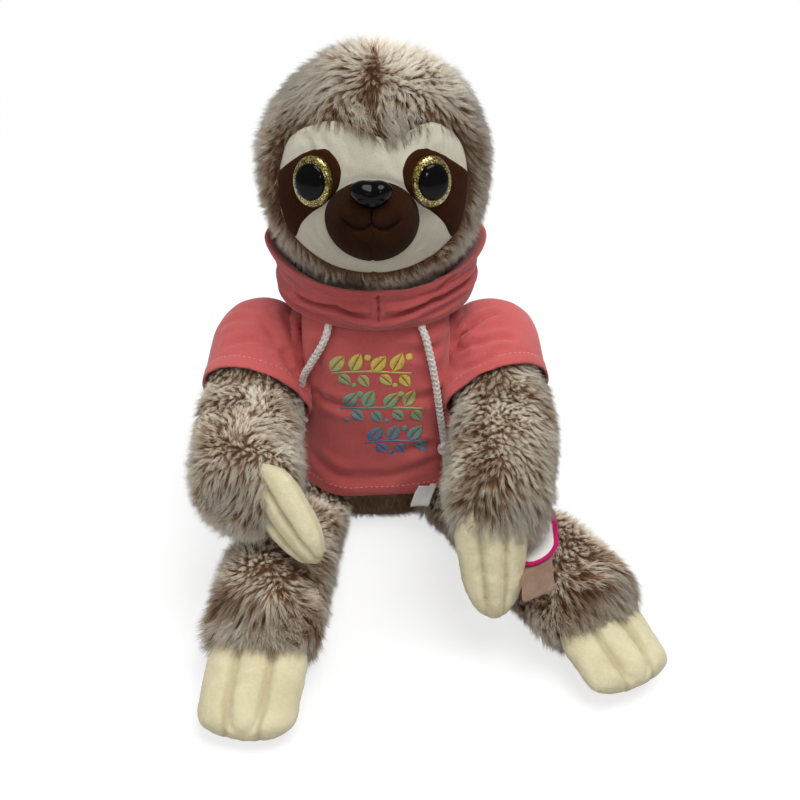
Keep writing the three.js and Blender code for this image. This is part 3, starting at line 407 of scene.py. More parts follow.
def pile_nodes():
    """Grows pile from a cloth. Each fibre is a three-sided spike that leans the way the cloth's nap
    lies, and fibres gather by their tips into locks."""
    values = [(name, "Float") for name in ("Density", "Lock width", "Gather", "Ruffle", "Lean")]
    g, given, out = node_group("long_pile", "GeometryNodeTree", [("Cloth", "Geometry"), *values, ("Seed", "Int")],
                               [("Pile", "Geometry")])
    given = given.outputs

    def named(name, kind="FLOAT"):
        return g.add("GeometryNodeInputNamedAttribute", {"data_type": kind}, Name=name).outputs["Attribute"]

    def store(geometry, name, kind, value, domain="POINT"):
        node = g.add("GeometryNodeStoreNamedAttribute", {"data_type": kind, "domain": domain}, Geometry=geometry,
                     Name=name)
        g.feed(node.inputs["Value"], value)
        return node.outputs[0]

    def any_between(low, high, output):
        kind = "FLOAT_VECTOR" if output == 0 else "FLOAT"
        node = g.add("FunctionNodeRandomValue", {"data_type": kind})
        g.feed(node.inputs[2 * output], low)
        g.feed(node.inputs[2 * output + 1], high)
        return node.outputs[output]

    scatter = g.add("GeometryNodeDistributePointsOnFaces", {"distribute_method": "RANDOM"}, Mesh=given["Cloth"],
                    Density=g.math("MULTIPLY", named("cover"), given["Density"]), Seed=given["Seed"]).outputs
    place = g.add("GeometryNodeInputPosition").outputs[0]

    # the lock that a fibre belongs to, and the way to its middle
    cell = g.add("ShaderNodeTexVoronoi", {"voronoi_dimensions": "3D", "feature": "F1"}, Vector=place,
                 Scale=g.math("DIVIDE", 1.0, given["Lock width"])).outputs
    to_lock = g.vector("SUBTRACT", cell["Position"], place)
    gather = g.vector("SCALE", to_lock, scale=g.math("DIVIDE", given["Gather"], given["Lock width"]))
    ruffle = g.vector("SUBTRACT", g.noise(place, 130.0, 2.0)["Color"], (0.5, 0.5, 0.5))
    stray = any_between((-0.16, -0.16, -0.16), (0.16, 0.16, 0.16), 0)
    lean = g.vector("ADD", named("lay", "FLOAT_VECTOR"), gather)
    lean = g.vector("ADD", lean, g.vector("SCALE", ruffle, scale=given["Ruffle"]))
    lean = g.vector("ADD", lean, stray)
    stand = g.vector("ADD", scatter["Normal"], g.vector("SCALE", lean, scale=given["Lean"]))
    turn = g.add("FunctionNodeAxesToRotation", {"primary_axis": "Z", "secondary_axis": "X"}, i0=stand, i1=lean)

    spike = g.add("GeometryNodeMeshCone", {"fill_type": "NONE"}, Vertices=3, Radius_Top=0.0, Radius_Bottom=0.018,
                  Depth=1.0)
    g.feed(spike.inputs["Side Segments"], 1)
    split = g.add("ShaderNodeSeparateXYZ", Vector=place).outputs
    stored = store(spike.outputs["Mesh"], "tip", "FLOAT", split["Z"])
    stored = store(stored, "side", "FLOAT", g.math("ADD", g.math("MULTIPLY", split["X"], 14.0), 0.5))

    # each fibre's tone: its own, its lock's, a slow drift and small flecks, less the shade of its place
    parts = (
        (any_between(0.0, 1.0, 1), 0, 0.3),
        (g.add("ShaderNodeSeparateXYZ", Vector=cell["Color"]).outputs[0], 0, 0.4),
        (g.noise(place, 42.0, 3.0)["Fac"], 0.42, 2.0),
        (g.noise(place, 150.0, 2.0)["Fac"], 0.48, 1.2),
    )
    tone = 0.0
    for value, middle, weight in parts:
        if middle:
            value = g.math("SUBTRACT", value, middle)
        tone = g.math("ADD", tone, g.math("MULTIPLY", value, weight))
    tone = g.add("ShaderNodeClamp", Value=g.math("SUBTRACT", tone, named("shade"))).outputs[0]
    toned = store(scatter["Points"], "tone", "FLOAT", tone)
    length = g.math("MULTIPLY", named("pile"), any_between(0.55, 1.1, 1))
    grown = g.add("GeometryNodeInstanceOnPoints", Points=toned, Instance=stored, Rotation=turn.outputs[0], Scale=length)
    real = g.add("GeometryNodeRealizeInstances", Geometry=grown.outputs[0])
    across = g.math("ADD", g.math("MULTIPLY", named("tone"), 0.9), g.math("MULTIPLY", named("side"), 0.06))
    chart = g.add("ShaderNodeCombineXYZ", X=across, Y=named("tip"), Z=0.0)
    mapped = store(real.outputs[0], "OFBake", "FLOAT2", chart.outputs[0], domain="CORNER")
    on_floor = g.add("ShaderNodeCombineXYZ", X=split["X"], Y=split["Y"], Z=g.math("MAXIMUM", split["Z"], 0.4 * MM))
    laid = g.add("GeometryNodeSetPosition", Geometry=mapped, Position=on_floor.outputs[0])
    smooth = g.add("GeometryNodeSetShadeSmooth", Geometry=laid.outputs[0])
    dyed = g.add("GeometryNodeSetMaterial", Geometry=smooth.outputs[0], Material=FROSTED_PILE)
    g.set(out, Pile=dyed.outputs[0])
    return g.tree


LONG_PILE = pile_nodes()


PILE_PER_M2 = 3.3e6
LOCK_WIDTH = 3.0


def write_value(mesh, name, kind, values):
    attribute = mesh.attributes.new(name, kind, "POINT")
    field = "vector" if kind == "FLOAT_VECTOR" else "value"
    attribute.data.foreach_set(field, np.ascontiguousarray(values, np.float32).ravel())


# without a seed the noise takes its offsets from the clock, and the pile lies differently each run
noise.seed_set(7)


def swirl(places, scale, seed):
    """A slow wander of the nap, the same each time."""
    return np.array([noise.noise_vector(Vector(p) * scale + Vector((seed, 0, 0))) for p in places])


def long_pile(body, skin_node, ride_on, regions, lay, pile, shade, seed, wander=0.75):
    """Coats a stuffed body with pile, in one piece for each region of it. Shade darkens it."""
    places, normals = places_of(body.data), normals_of(body.data)
    nap = lay(places)
    nap = nap / np.maximum(np.linalg.norm(nap, axis=1), 1e-9)[:, None]
    nap = nap + swirl(places, 22, seed) * wander * 1.5 + swirl(places, 60, seed + 9) * wander
    nap -= normals * np.sum(nap * normals, axis=1)[:, None]
    everywhere = np.ones(len(places))
    for number, (name, cover) in enumerate(regions.items()):
        coat = bpy.data.objects.new(name, body.data.copy())
        bpy.context.scene.collection.objects.link(coat)
        coat.data.materials.clear()
        coat.data.materials.append(FROSTED_PILE)
        write_value(coat.data, "cover", "FLOAT", np.clip(cover(places, normals), 0, 1))
        write_value(coat.data, "lay", "FLOAT_VECTOR", nap)
        write_value(coat.data, "pile", "FLOAT", pile(places) * everywhere * MM)
        write_value(coat.data, "shade", "FLOAT", shade(places) * everywhere)
        grow = coat.modifiers.new("grow", "NODES")
        grow.node_group = LONG_PILE
        values = {"Density": PILE_PER_M2, "Lock width": LOCK_WIDTH * MM, "Gather": 0.6, "Ruffle": 1.0, "Lean": 1.5,
                  "Seed": seed + number}
        for item in LONG_PILE.interface.items_tree:
            if item.name in values:
                grow[item.identifier] = values[item.name]
        worked(coat)
        settle(coat, ride_on, skin_node)


def filled(name, form, voxel, body, node, fill, **sizes):
    """A stuffed body in its backing, riding on a moving body. Its fill share is not used."""
    piece = stuffed(name, form, voxel, **sizes)
    settle(piece, body, node, FUR_BACKING)
    return piece


def torso_rings():
    heights = [2, 6, 14, 32, 48, 62, 88, 120, 139, 150, 156]
    return [[torso_point(a, h, -TORSO_INSET) * MM for a in turns(40)] for h in heights]


torso_body = filled("torso_body", tube_of_rings(torso_rings()), 3.2, "torso", "torso_fill", 0.85, rounds=3)


def below_hem(places, normals):
    """Pile shows under the hoodie's hem and at the seat's edge, not where the toy sits on it."""
    return (places[:, 2] < 44 * MM) * (places[:, 2] > 4 * MM) * 0.75


long_pile(torso_body, "torso_skin", "torso", {"torso_pile": below_hem},
          lay=lambda places: np.tile((0, 0, -1.0), (len(places), 1)), pile=lambda places: 4.8,
          shade=lambda places: 0.75, seed=11)


# Legs
# Two long stuffed tubes that turn on the floor about the hips, round behind and fullest at the ankle,
# in the same plush. They lie flat where they rest.
KNEE = 84


def limb_cover(test):
    return lambda places, normals: test(places) * ((places[:, 2] > 2.5 * MM) | (normals[:, 2] > -0.5)) * 1.0


def make_leg(name, side, splay, seed):
    angle = math.radians(splay)
    ahead = np.array((side * math.sin(angle), -math.cos(angle), 0))
    hip = np.array((side * 42, -5.5, 0)) * MM
    leg = filled("leg_body_" + name, solid_copy("leg_fill_" + name), 3.2, "leg_" + name, "leg_fill_" + name, 0.8,
                 rounds=5, lumps=1.2)

    def reach(places):
        return (places - hip) @ ahead / MM

    long_pile(leg, "leg_skin_" + name, "leg_" + name, {
        "leg_pile_thigh_" + name: limb_cover(lambda p: (reach(p) > -26) & (reach(p) <= KNEE)),
        "leg_pile_ankle_" + name: limb_cover(lambda p: reach(p) > KNEE),
    }, lay=lambda places: np.tile(ahead, (len(places), 1)) + np.array((0, 0, -0.35)),
        pile=lambda places: 9.5 + 5.5 * np.clip((reach(places) - 146) / 16, 0, 1),
        shade=lambda places: 0.1, seed=seed)


make_leg("right", -1, 5.5, 21)
make_leg("left", 1, 28, 31)


# Arms
# Two stuffed tubes from the shoulders, drooping at the elbow, in the same plush, with nothing but
# backing under the sleeves.
WRIST = -103


def make_arm(name, side, hem_place, hem_ahead, seed):
    arm = filled("arm_body_" + name, solid_copy("arm_fill_" + name), 3.2, "arm_" + name, "arm_fill_" + name, 0.8,
                 rounds=5, lumps=1.2)
    ahead = np.array((-0.12 * side, -0.93, -0.28))

    def past_hem(places):
        return (places / MM - np.array(hem_place)) @ np.array(hem_ahead)

    def lay(places):
        end = np.clip((-places[:, 1] / MM - 126) / 14, 0, 1)[:, None]
        return np.tile(ahead, (len(places), 1)) + np.array((0, 0, -0.25)) + end * np.array((0, 0.5, -1.6))

    def pile(places):
        """Short under the sleeve, full past its hem, longest round the wrist."""
        past = np.clip((past_hem(places) + 4) / 6, 0, 1)
        return 4.2 + 5.3 * past + 2.5 * np.clip((-places[:, 1] / MM - 120) / 15, 0, 1)

    def shade(places):
        """Paler at the hem and toward the wrist."""
        past = past_hem(places)
        return -0.02 - 0.14 * np.exp(-((past / 9) ** 2)) - 0.14 * np.clip((past - 30) / 30, 0, 1)

    long_pile(arm, "arm_skin_" + name, "arm_" + name, {
        "arm_pile_upper_" + name: lambda p, n: (past_hem(p) > -7) * (p[:, 1] >= WRIST * MM) * 1.0,
        "arm_pile_wrist_" + name: lambda p, n: (p[:, 1] < WRIST * MM) * 1.0,
    }, lay, pile, shade, seed)


SLEEVE_HEMS = {
    "right": ((-73.7, -29, 90.5), (-0.22, -0.86, -0.46)),
    "left": ((73.8, -29, 92.5), (0.3, -0.84, -0.46)),
}
make_arm("right", -1, *SLEEVE_HEMS["right"], 41)
make_arm("left", 1, *SLEEVE_HEMS["left"], 51)


# Hand and foot pads
# Flat mitts of cream velour, sewn together round their rims, stuffed, and sewn down along two lines
# into three claws. The hands' pads narrow to the tip. Each is sewn into the end of its limb.
PADS = {
    "hand_claws_right": ("hand_pad_right", "arm_right", 57.5, (-60.9, -120.9, 103.9), (0.58, -0.444, -0.683),
                         (-0.59, 0.35, -0.73)),
    "hand_claws_left": ("hand_pad_left", "arm_left", 65, (60.0, -133, 92), (0.055, -0.235, -0.972), (0.995, 0.05, 0.0)),
    "foot_claws_right": ("foot_pad_right", "leg_right", 49, (-57.4, -165.6, 25), (-0.0958, -0.9954, -0.325),
                         (0.9954, -0.0958, 0)),
    "foot_claws_left": ("foot_pad_left", "leg_left", 39, (117.5, -147.5, 25), (0.4695, -0.8829, -0.325),
                        (0.8829, 0.4695, 0)),
}
HAND_PAD = {"half_width": 20, "half_depth": 7.2, "narrow": 0.58, "root": 0.45, "full": 0.6}
FOOT_PAD = {"half_width": 25.5, "half_depth": 9.5, "narrow": 0.93, "root": 0.92, "full": 0.7}
PAD_SECTION = 72
PAD_ROWS = 44
CLAW_LINE = 0.35


def velour(name):
    """Cream velour, greyed by wear along the rim and the tip, and by painted shade along the sewn lines."""
    material = plush_cloth(name, (198, 188, 152), (222, 213, 178), fuzz=620, patch=70, bump=0.75)
    g = Graph(material.node_tree)
    shell = material.node_tree.nodes["Principled BSDF"]
    clean = shell.inputs["Base Color"].links[0].from_socket
    worn = g.add("ShaderNodeAttribute", {"attribute_name": "worn"}).outputs["Fac"]
    grey = g.add("ShaderNodeMix", {"data_type": "RGBA"}, Factor=worn, A=clean, B=srgb(168, 152, 118))
    g.set(shell, Base_Color=grey.outputs["Result"])
    return material


VELOUR = velour("cream_velour")


def pad_place(share, turn, half_width, length, half_depth, narrow, root, full):
    """A point of a pad drawn along -Y from its root: at a share of its length and round its section."""
    blunt = max(1 - max((share - full) / (1 - full), 0) ** 2.8, 0) ** 0.5
    begun = root + (1 - root) * math.sin(math.pi / 2 * min(share / 0.28, 1))
    wide = half_width * (1 + (narrow - 1) * share**1.6) * begun * blunt
    across, high = rounded(math.cos(turn), 2.4), rounded(math.sin(turn), 2.2)
    valley = math.exp(-(((abs(across) - CLAW_LINE) / 0.1) ** 2)) * min(share / 0.12, 1)
    plump = 0.92 + 0.2 * math.sin(math.pi * min(share * 1.05, 1))
    deep = half_depth * plump * begun * blunt**0.8 * (1 - 0.42 * valley)
    reach = length * share * (1 - 0.03 * valley * share**3 * blunt)
    return Vector((wide * across, -reach, deep * high))


def noise_at(places, scale):
    return np.array([noise.noise(Vector(p) * scale) for p in places])


def axes_at(place, x, y, z):
    """The frame at a place with these three axes."""
    placed = Matrix((x, y, z)).transposed().to_4x4()
    placed.translation = place
    return placed


def make_pad(node, name, body, length, root, ahead, across, sizes):
    rings = []
    for row in range(PAD_ROWS + 1):
        share = math.sin(row / PAD_ROWS * math.pi / 2) ** 0.9 if row < PAD_ROWS else 0.9995
        rings.append([pad_place(share, turn, length=length, **sizes) * MM for turn in turns(PAD_SECTION)])
    form = tube_of_rings(rings)
    back = -Vector(ahead).normalized()
    wide = Vector(across)
    wide = (wide - back * wide.dot(back)).normalized()
    placed = axes_at(Vector(root) * MM, wide, back, wide.cross(back))
    bmesh.ops.transform(form, matrix=placed, verts=form.verts)
    pad = stuffed(name, form, 0.9, rounds=3, lumps=0.5)
    local = (places_of(pad.data) - np.array(placed.translation)) @ np.array(placed.to_3x3())
    reach = np.clip(-local[:, 1] / MM / length, 0, 1)
    wide_here = sizes["half_width"] * (1 + (sizes["narrow"] - 1) * reach**1.6)
    from_line = np.abs(np.abs(local[:, 0]) / MM / wide_here - CLAW_LINE)
    outer = np.abs(local[:, 0]) / MM / wide_here > 0.5
    valley = np.exp(-((from_line / 0.06) ** 2)) * np.clip(reach / 0.15, 0, 1)
    rim = np.exp(-((local[:, 2] / MM / 0.7) ** 2)) * (outer | (reach > 0.9))
    move = rim * 0.45 - valley * 0.5
    wrinkle = np.array([noise.noise(Vector((p[0] * 60, p[1] * 200, p[2] * 60))) for p in local])
    move += wrinkle * 0.7 * np.clip(1 - from_line / 0.2, 0, 1)
    move += (noise_at(local, 110) + 0.6 * noise_at(local, 260)) * 0.45
    push_out(pad, move * MM)
    # Greying: real wear on the rim and the tip, painted shade in the creases of the sewn lines.
    worn = np.clip(valley * 0.55 + rim * 0.35 + np.clip(reach - 0.85, 0, 1) * 1.6, 0, 0.8)
    write_value(pad.data, "worn", "FLOAT", worn)
    settle(pad, body, node, VELOUR)


for node, pad in PADS.items():
    make_pad(node, *pad, HAND_PAD if "hand" in node else FOOT_PAD)


# Head
# A stuffed egg of the same plush, nearly round in plan, with its face set in. The pile falls from the
# parting on the crown, and over the forehead it hangs in a short tuft.
HEAD_RADIUS = 64.5
HEAD_HALF_HEIGHT = 68
HEAD_CENTRE = 222
HEAD_SQUARENESS = 2.15
HEAD_INSET = 3.6
NECK_HEIGHT = 161
CROWN_HEIGHT = 252
PARTING_HEIGHT = 262
FACE_HALF_WIDTH = 50
FACE_HALF_HEIGHT = 40
FACE_RISE = 2.4
FACE_OUTLINE_SHARES = [
    (0.16, 0.8), (0.5, 0.92), (0.68, 0.9), (0.88, 0.7), (0.98, 0.38), (1, 0), (0.96, -0.32),
    (0.86, -0.58), (0.6, -0.84), (0.3, -0.98), (0, -1.02), (-0.3, -0.98), (-0.6, -0.84), (-0.86, -0.58),
    (-0.98, -0.32), (-1, 0), (-0.97, 0.35), (-0.85, 0.7), (-0.6, 0.9), (-0.3, 0.97),
]


def curve_through(a, b, c, d, t):
    """A point of a smooth curve between b and c."""
    return 0.5 * (2 * b + (c - a) * t + (2 * a - 5 * b + 4 * c - d) * t * t + (3 * b - 3 * c + d - a) * t**3)


def smooth_loop(points, steps):
    """A smooth closed line through points."""
    count, line = len(points), []
    for k in range(count):
        four = [np.array(points[(k + j - 1) % count], float) for j in range(4)]
        line += [curve_through(*four, s / steps) for s in range(steps)]
    return np.array(line)


def head_radius(height):
    rise = min(abs(height - HEAD_CENTRE) / HEAD_HALF_HEIGHT, 1)
    return HEAD_RADIUS * (1 - rise**HEAD_SQUARENESS) ** (1 / HEAD_SQUARENESS)


def on_head(x, z, out=0.0):
    """The point of the head's front at x and z, pushed outward, in millimetres."""
    rise = min(abs(z - HEAD_CENTRE) / HEAD_HALF_HEIGHT, 0.999)
    radius = HEAD_RADIUS * (1 - rise**HEAD_SQUARENESS) ** (1 / HEAD_SQUARENESS)
    y = -math.sqrt(max(radius**2 - x * x, 0.01))
    around = (radius / HEAD_RADIUS) ** (HEAD_SQUARENESS - 1) / HEAD_RADIUS
    up = math.copysign(rise ** (HEAD_SQUARENESS - 1) / HEAD_HALF_HEIGHT, z - HEAD_CENTRE)
    normal = Vector((x / radius * around, y / radius * around, up)).normalized()
    return Vector((x, y, z)) + normal * out


FACE_OUTLINE = smooth_loop(FACE_OUTLINE_SHARES, 6) * (FACE_HALF_WIDTH, FACE_HALF_HEIGHT)


def inside_loop(points, loop):
    """How far inside a closed line each point lies, in the line's own unit. Outside counts below zero."""
    a, b = loop, np.roll(loop, -1, axis=0)
    edge = b - a
    away = points[:, None, :] - a
    t = np.clip(np.sum(away * edge, axis=2) / np.sum(edge * edge, axis=1), 0, 1)
    distance = np.linalg.norm(away - t[:, :, None] * edge, axis=2).min(axis=1)
    x, y = points[:, None, 0], points[:, None, 1]
    crosses = (a[:, 1] > y) != (b[:, 1] > y)
    crosses &= x < (b[:, 0] - a[:, 0]) * (y - a[:, 1]) / (b[:, 1] - a[:, 1] + 1e-12) + a[:, 0]
    return np.where(crosses.sum(axis=1) % 2 == 1, distance, -distance)


def face_depth(places):
    """How far a point of the head lies inside the face's outline, in millimetres."""
    flat = np.stack([places[:, 0] / MM, places[:, 2] / MM - HEAD_CENTRE - FACE_RISE], axis=1)
    return np.where(places[:, 1] < 0, inside_loop(flat, FACE_OUTLINE), -30)


def all_of(form):
    return form.verts[:] + form.edges[:] + form.faces[:]


def ball(sides, rows):
    form = bmesh.new()
    bmesh.ops.create_uvsphere(form, u_segments=sides, v_segments=rows, radius=1)
    return form


def head_form():
    form = ball(72, 44)
    for v in form.verts:
        angle = math.atan2(v.co.z, math.hypot(v.co.x, v.co.y))
        around = math.atan2(v.co.y, v.co.x)
        radius = (HEAD_RADIUS - HEAD_INSET) * rounded(math.cos(angle), HEAD_SQUARENESS)
        height = HEAD_CENTRE + (HEAD_HALF_HEIGHT - HEAD_INSET) * rounded(math.sin(angle), HEAD_SQUARENESS)
        v.co = Vector((radius * math.cos(around), radius * math.sin(around), height)) * MM
    cut = bmesh.ops.bisect_plane(form, geom=all_of(form), plane_co=(0, 0, NECK_HEIGHT * MM), plane_no=(0, 0, 1),
                                 clear_inner=True)["geom_cut"]
    bmesh.ops.contextual_create(form, geom=of_kind(bmesh.types.BMEdge, cut))
    return form


head_body = filled("head_body", head_form(), 3.0, "head", "head_fill", 0.9, rounds=2, lumps=1.6)
dent = np.clip(face_depth(places_of(head_body.data)) / 6, 0, 1)
push_out(head_body, -dent * 2.2 * MM)


def head_nap(places):
    """Down and away from the crown, swept to each side of the parting, inward over the face's edge."""
    fall = places - np.array((0, 14, 296)) * MM + np.array((0, 0, -0.03))
    side = np.sign(places[:, 0]) * np.exp(-((places[:, 0] / (14 * MM)) ** 2)) * (places[:, 2] > PARTING_HEIGHT * MM)
    fall[:, 0] = fall[:, 0] * 0.75 + side * 0.02
    return fall


def head_roots_and_painted_sheen(places):
    """Darker where roots show at the face's seam and parting; paler away from the face and on top, a painted sheen."""
    seam_line = np.exp(-((np.abs(face_depth(places)) / 6) ** 2)) * 0.5
    above = (places[:, 1] < 0) * (places[:, 2] > PARTING_HEIGHT * MM)
    parting = np.exp(-((places[:, 0] / (3 * MM)) ** 2)) * above * 0.7
    # painted sheen: the pile paler away from the face and toward the top of the crown
    outer = 0.12 * np.clip((-face_depth(places) - 8) / 10, 0, 1)
    return seam_line + parting - 0.16 - outer - 0.14 * np.clip((places[:, 2] / MM - 240) / 30, 0, 1)


def head_pile(places):
    """Long on the crown, longest in the tuft over the forehead, short under the chin."""
    tuft = np.exp(-((places[:, 0] / (24 * MM)) ** 2) - ((places[:, 2] - 266 * MM) / (10 * MM)) ** 2)
    return 8.0 + 2.0 * np.clip((places[:, 2] / MM - 215) / 30, 0, 1) + 6.5 * tuft * (places[:, 1] < 0)


def head_region(test):
    """The pile where a test holds of how far across a place is and of whether it lies under the crown."""
    def cover(places, normals):
        within = (face_depth(places) < 0.5) * (places[:, 2] > 166 * MM)
        return within * test(places[:, 0] / MM, places[:, 2] < CROWN_HEIGHT * MM) * 1.0
    return cover


long_pile(head_body, "head_skin", "head", {
    "head_pile_right": head_region(lambda x, low: (x < -14) & low),
    "head_pile_left": head_region(lambda x, low: (x >= 14) & low),
    "head_pile_middle": head_region(lambda x, low: (np.abs(x + 0.1) < 14) & low),
    "head_pile_crown": head_region(lambda x, low: ~low),
}, head_nap, head_pile, head_roots_and_painted_sheen, seed=61)


# Face panel
# Short grey-cream plush set into an opening of the head's skin, pulled in at the seam and under the
# eyes and muzzle, with a seam from the chin down.
FACE_RINGS = 40
CAMERA_PLACE = Vector((14, -546, 390.5)) * MM
PICTURE_MIDDLE = 400
PICTURE_DEPTH = 1000


def face_forward(piece):
    """Turns a sheet's faces to look out in front."""
    if sum(polygon.normal.y for polygon in piece.data.polygons) > 0:
        piece.data.flip_normals()


def thickened(piece, thickness, offset=-1):
    wall = piece.modifiers.new("wall", "SOLIDIFY")
    wall.thickness = thickness * MM
    wall.offset = offset
    wall.use_rim = True
    return worked(piece)


def face_disc(name, outline, middle, out, thickness):
    """Cloth laid on the face: its outline drawn in ring by ring to its middle, each ring laid on the head."""
    rings = []
    for k in range(FACE_RINGS + 1):
        share = max(1 - k / FACE_RINGS, 0.004)
        flat = middle + (outline - middle) * share
        depth = inside_loop(flat * 0.9995 + middle * 0.0005, outline)
        rings.append([on_head(x, HEAD_CENTRE + FACE_RISE + z, out(x, z, max(inside, 0))) * MM
                      for (x, z), inside in zip(flat, depth)])
    form = tube_of_rings(rings, closed_ends=False)
    last = [edge for edge in form.edges if edge.is_boundary and edge.calc_length() < 0.05 * MM]
    bmesh.ops.contextual_create(form, geom=last)
    bmesh.ops.recalc_face_normals(form, faces=form.faces)
    piece = finished(name, form)
    face_forward(piece)
    return thickened(piece, thickness)


def near_oval(x, z, at_x, at_z, half_width, half_height):
    """How near a point is to an oval's rim, from 0 to 1, within about 2 mm."""
    reach = math.hypot((x - at_x) / half_width, (z - at_z) / half_height)
    return math.exp(-((((reach - 1) * half_width) / 2) ** 2))


def surface(piece):
    """A piece's surface, to find places on it."""
    return BVHTree.FromObject(piece, bpy.context.evaluated_depsgraph_get())


def press(piece, creases):
    """Presses creases into cloth. Each is a line of places with a depth and a breadth in millimetres,
    and the cloth swells a little along both its sides."""
    places = places_of(piece.data)
    move = np.zeros(len(places))
    for line, depth, breadth in creases:
        line = [p for p in line if p is not None]
        if len(line) < 2:
            continue
        near, share = np.full(len(places), 1e3), np.zeros(len(places))
        for k in range(len(line) - 1):
            a, b = np.array(line[k]), np.array(line[k + 1])
            t = np.clip((places - a) @ (b - a) / max((b - a) @ (b - a), 1e-12), 0, 1)
            away = np.linalg.norm(places - a - t[:, None] * (b - a), axis=1)
            share = np.where(away < near, (k + t) / (len(line) - 1), share)
            near = np.minimum(away, near)
        u = near / (breadth * MM)
        fade = np.sin(np.pi * (0.06 + 0.88 * share)) ** 0.6
        move += depth * 1.35 * MM * fade * (0.6 * np.exp(-(((u - 2.0) / 1.0) ** 2)) - np.exp(-((u * 1.25) ** 2)))
    push_out(piece, move, places)


def press_seen(piece, creases):
    """Presses creases where the camera sees them on a piece, each point across and down the picture."""
    tree = surface(piece)

    def seen(across, down):
        ray = Vector((0, 0.866, -0.5)) + Vector(((across - PICTURE_MIDDLE) / PICTURE_DEPTH, 0, 0))
        ray += Vector((0, 0.5, 0.866)) * (PICTURE_MIDDLE - down) / PICTURE_DEPTH
        return tree.ray_cast(CAMERA_PLACE, ray.normalized())[0]

    press(piece, [([seen(*p) for p in line], depth, breadth) for line, depth, breadth in creases])


def panel_out(x, z, inside):
    puffed = -1.2 + 1.5 * (1 - math.exp(-inside / 3.5))
    rims = 0.7 * near_oval(x, z, 0, -8.6, 24, 22) + 0.5 * near_oval(abs(x), z, 29.5, 10.4, 11.5, 13.5)
    seam_line = 0.7 * math.exp(-((x / 0.9) ** 2)) * (z < -28)
    wrinkle = 0.35 * noise.noise(Vector((x * 0.09, z * 0.05, 3))) + 0.2 * noise.noise(Vector((x * 0.2, z * 0.2, 9)))
    return puffed - rims - seam_line + wrinkle


FACE_PLUSH = plush_cloth("face_plush", (177, 171, 154), (199, 193, 176), fuzz=900, patch=40, bump=0.5, sheen=0.15)
face_panel = face_disc("face_panel_cloth", FACE_OUTLINE, np.array((0, -2.0)), panel_out, 1.2)
press_seen(face_panel, [
    ([(303, 134), (309, 141), (312, 149)], 0.7, 1.6),
    ([(322, 127), (321, 138), (329, 150)], 0.8, 1.8),
    ([(352, 132), (347, 146), (350, 160)], 0.6, 1.8),
    ([(392, 140), (388, 155), (396, 172)], 0.5, 2.0),
    ([(427, 131), (428.5, 142), (427, 151)], 0.8, 1.3),
    ([(449, 137), (444, 146), (446, 153)], 0.6, 1.6),
    ([(312, 228), (318, 240), (330, 252)], 0.6, 1.6),
    ([(430, 226), (424, 240), (414, 252)], 0.6, 1.6),
])
settle(face_panel, "head", "face_panel", FACE_PLUSH)


# Eye patches
# Two bands of dark brown short plush, sewn on from beside the nose, round each eye and down to the
# face's edge.
PATCH_SHARES = [
    (0.5, 0.66), (0.37, 0.6), (0.3, 0.44), (0.32, 0.26), (0.38, 0.12), (0.5, -0.04), (0.61, -0.15),
    (0.73, -0.33), (0.84, -0.6), (1.05, -0.7), (1.1, 0), (1.02, 0.22), (0.84, 0.43), (0.68, 0.58),
]
PATCH_MIDDLE = np.array((39, 1.0))
DARK_PLUSH = plush_cloth("dark_plush", (42, 20, 8), (56, 29, 13), fuzz=900, patch=50, bump=0.5, sheen=0.02, shine=0.05)


def patch_outline():
    """The patch's outline on the face, caught in the panel's own seam."""
    line = smooth_loop(PATCH_SHARES, 6) * (FACE_HALF_WIDTH, FACE_HALF_HEIGHT)
    for k in range(len(line)):
        while inside_loop(line[k:k + 1], FACE_OUTLINE)[0] < -0.4:
            line[k] += (PATCH_MIDDLE - line[k]) * 0.02
    return line


def patch_out(x, z, inside):
    return panel_out(x, z, inside_loop(np.array([[x, z]]), FACE_OUTLINE)[0]) - 0.3 + 1.3 * (1 - math.exp(-inside / 0.6))


for name, side in (("right", -1), ("left", 1)):
    patch = face_disc("eye_patch_cloth_" + name, patch_outline() * (side, 1), PATCH_MIDDLE * (side, 1), patch_out, 1.0)
    settle(patch, "head", "eye_patch_" + name, DARK_PLUSH)


# Eyes
# Safety eyes: an oval clear dome over gold glitter, with a raised black pupil, held behind the cloth by
# a stem and a washer.
EYE_SIDE = 29
EYE_HEIGHT = 234.8
EYE_TURN = 22
EYE_TILT = 10
EYE_SEAT = 2.1
IRIS_HALF = (10.6, 12.7)
IRIS_BULGE = 3.4
PUPIL_HALF = (8.2, 9.3)
PUPIL_BULGE = 3.2
PUPIL_RIM = EYE_SEAT + IRIS_BULGE * 0.72


def closed_up(form, within):
    """Joins the points that meet within a distance, and turns the faces outward."""
    bmesh.ops.remove_doubles(form, verts=form.verts, dist=within)
    bmesh.ops.recalc_face_normals(form, faces=form.faces)
    return form


def spun(profile, steps=72):
    """A turned form about Z, from a profile of radii and heights in millimetres."""
    form = bmesh.new()
    line = [form.verts.new((radius * MM, 0, height * MM)) for radius, height in profile]
    edges = [form.edges.new(pair) for pair in zip(line, line[1:])]
    bmesh.ops.spin(form, geom=line + edges, cent=(0, 0, 0), axis=(0, 0, 1), angle=2 * math.pi, steps=steps,
                   use_merge=True)
    return closed_up(form, 1e-6)


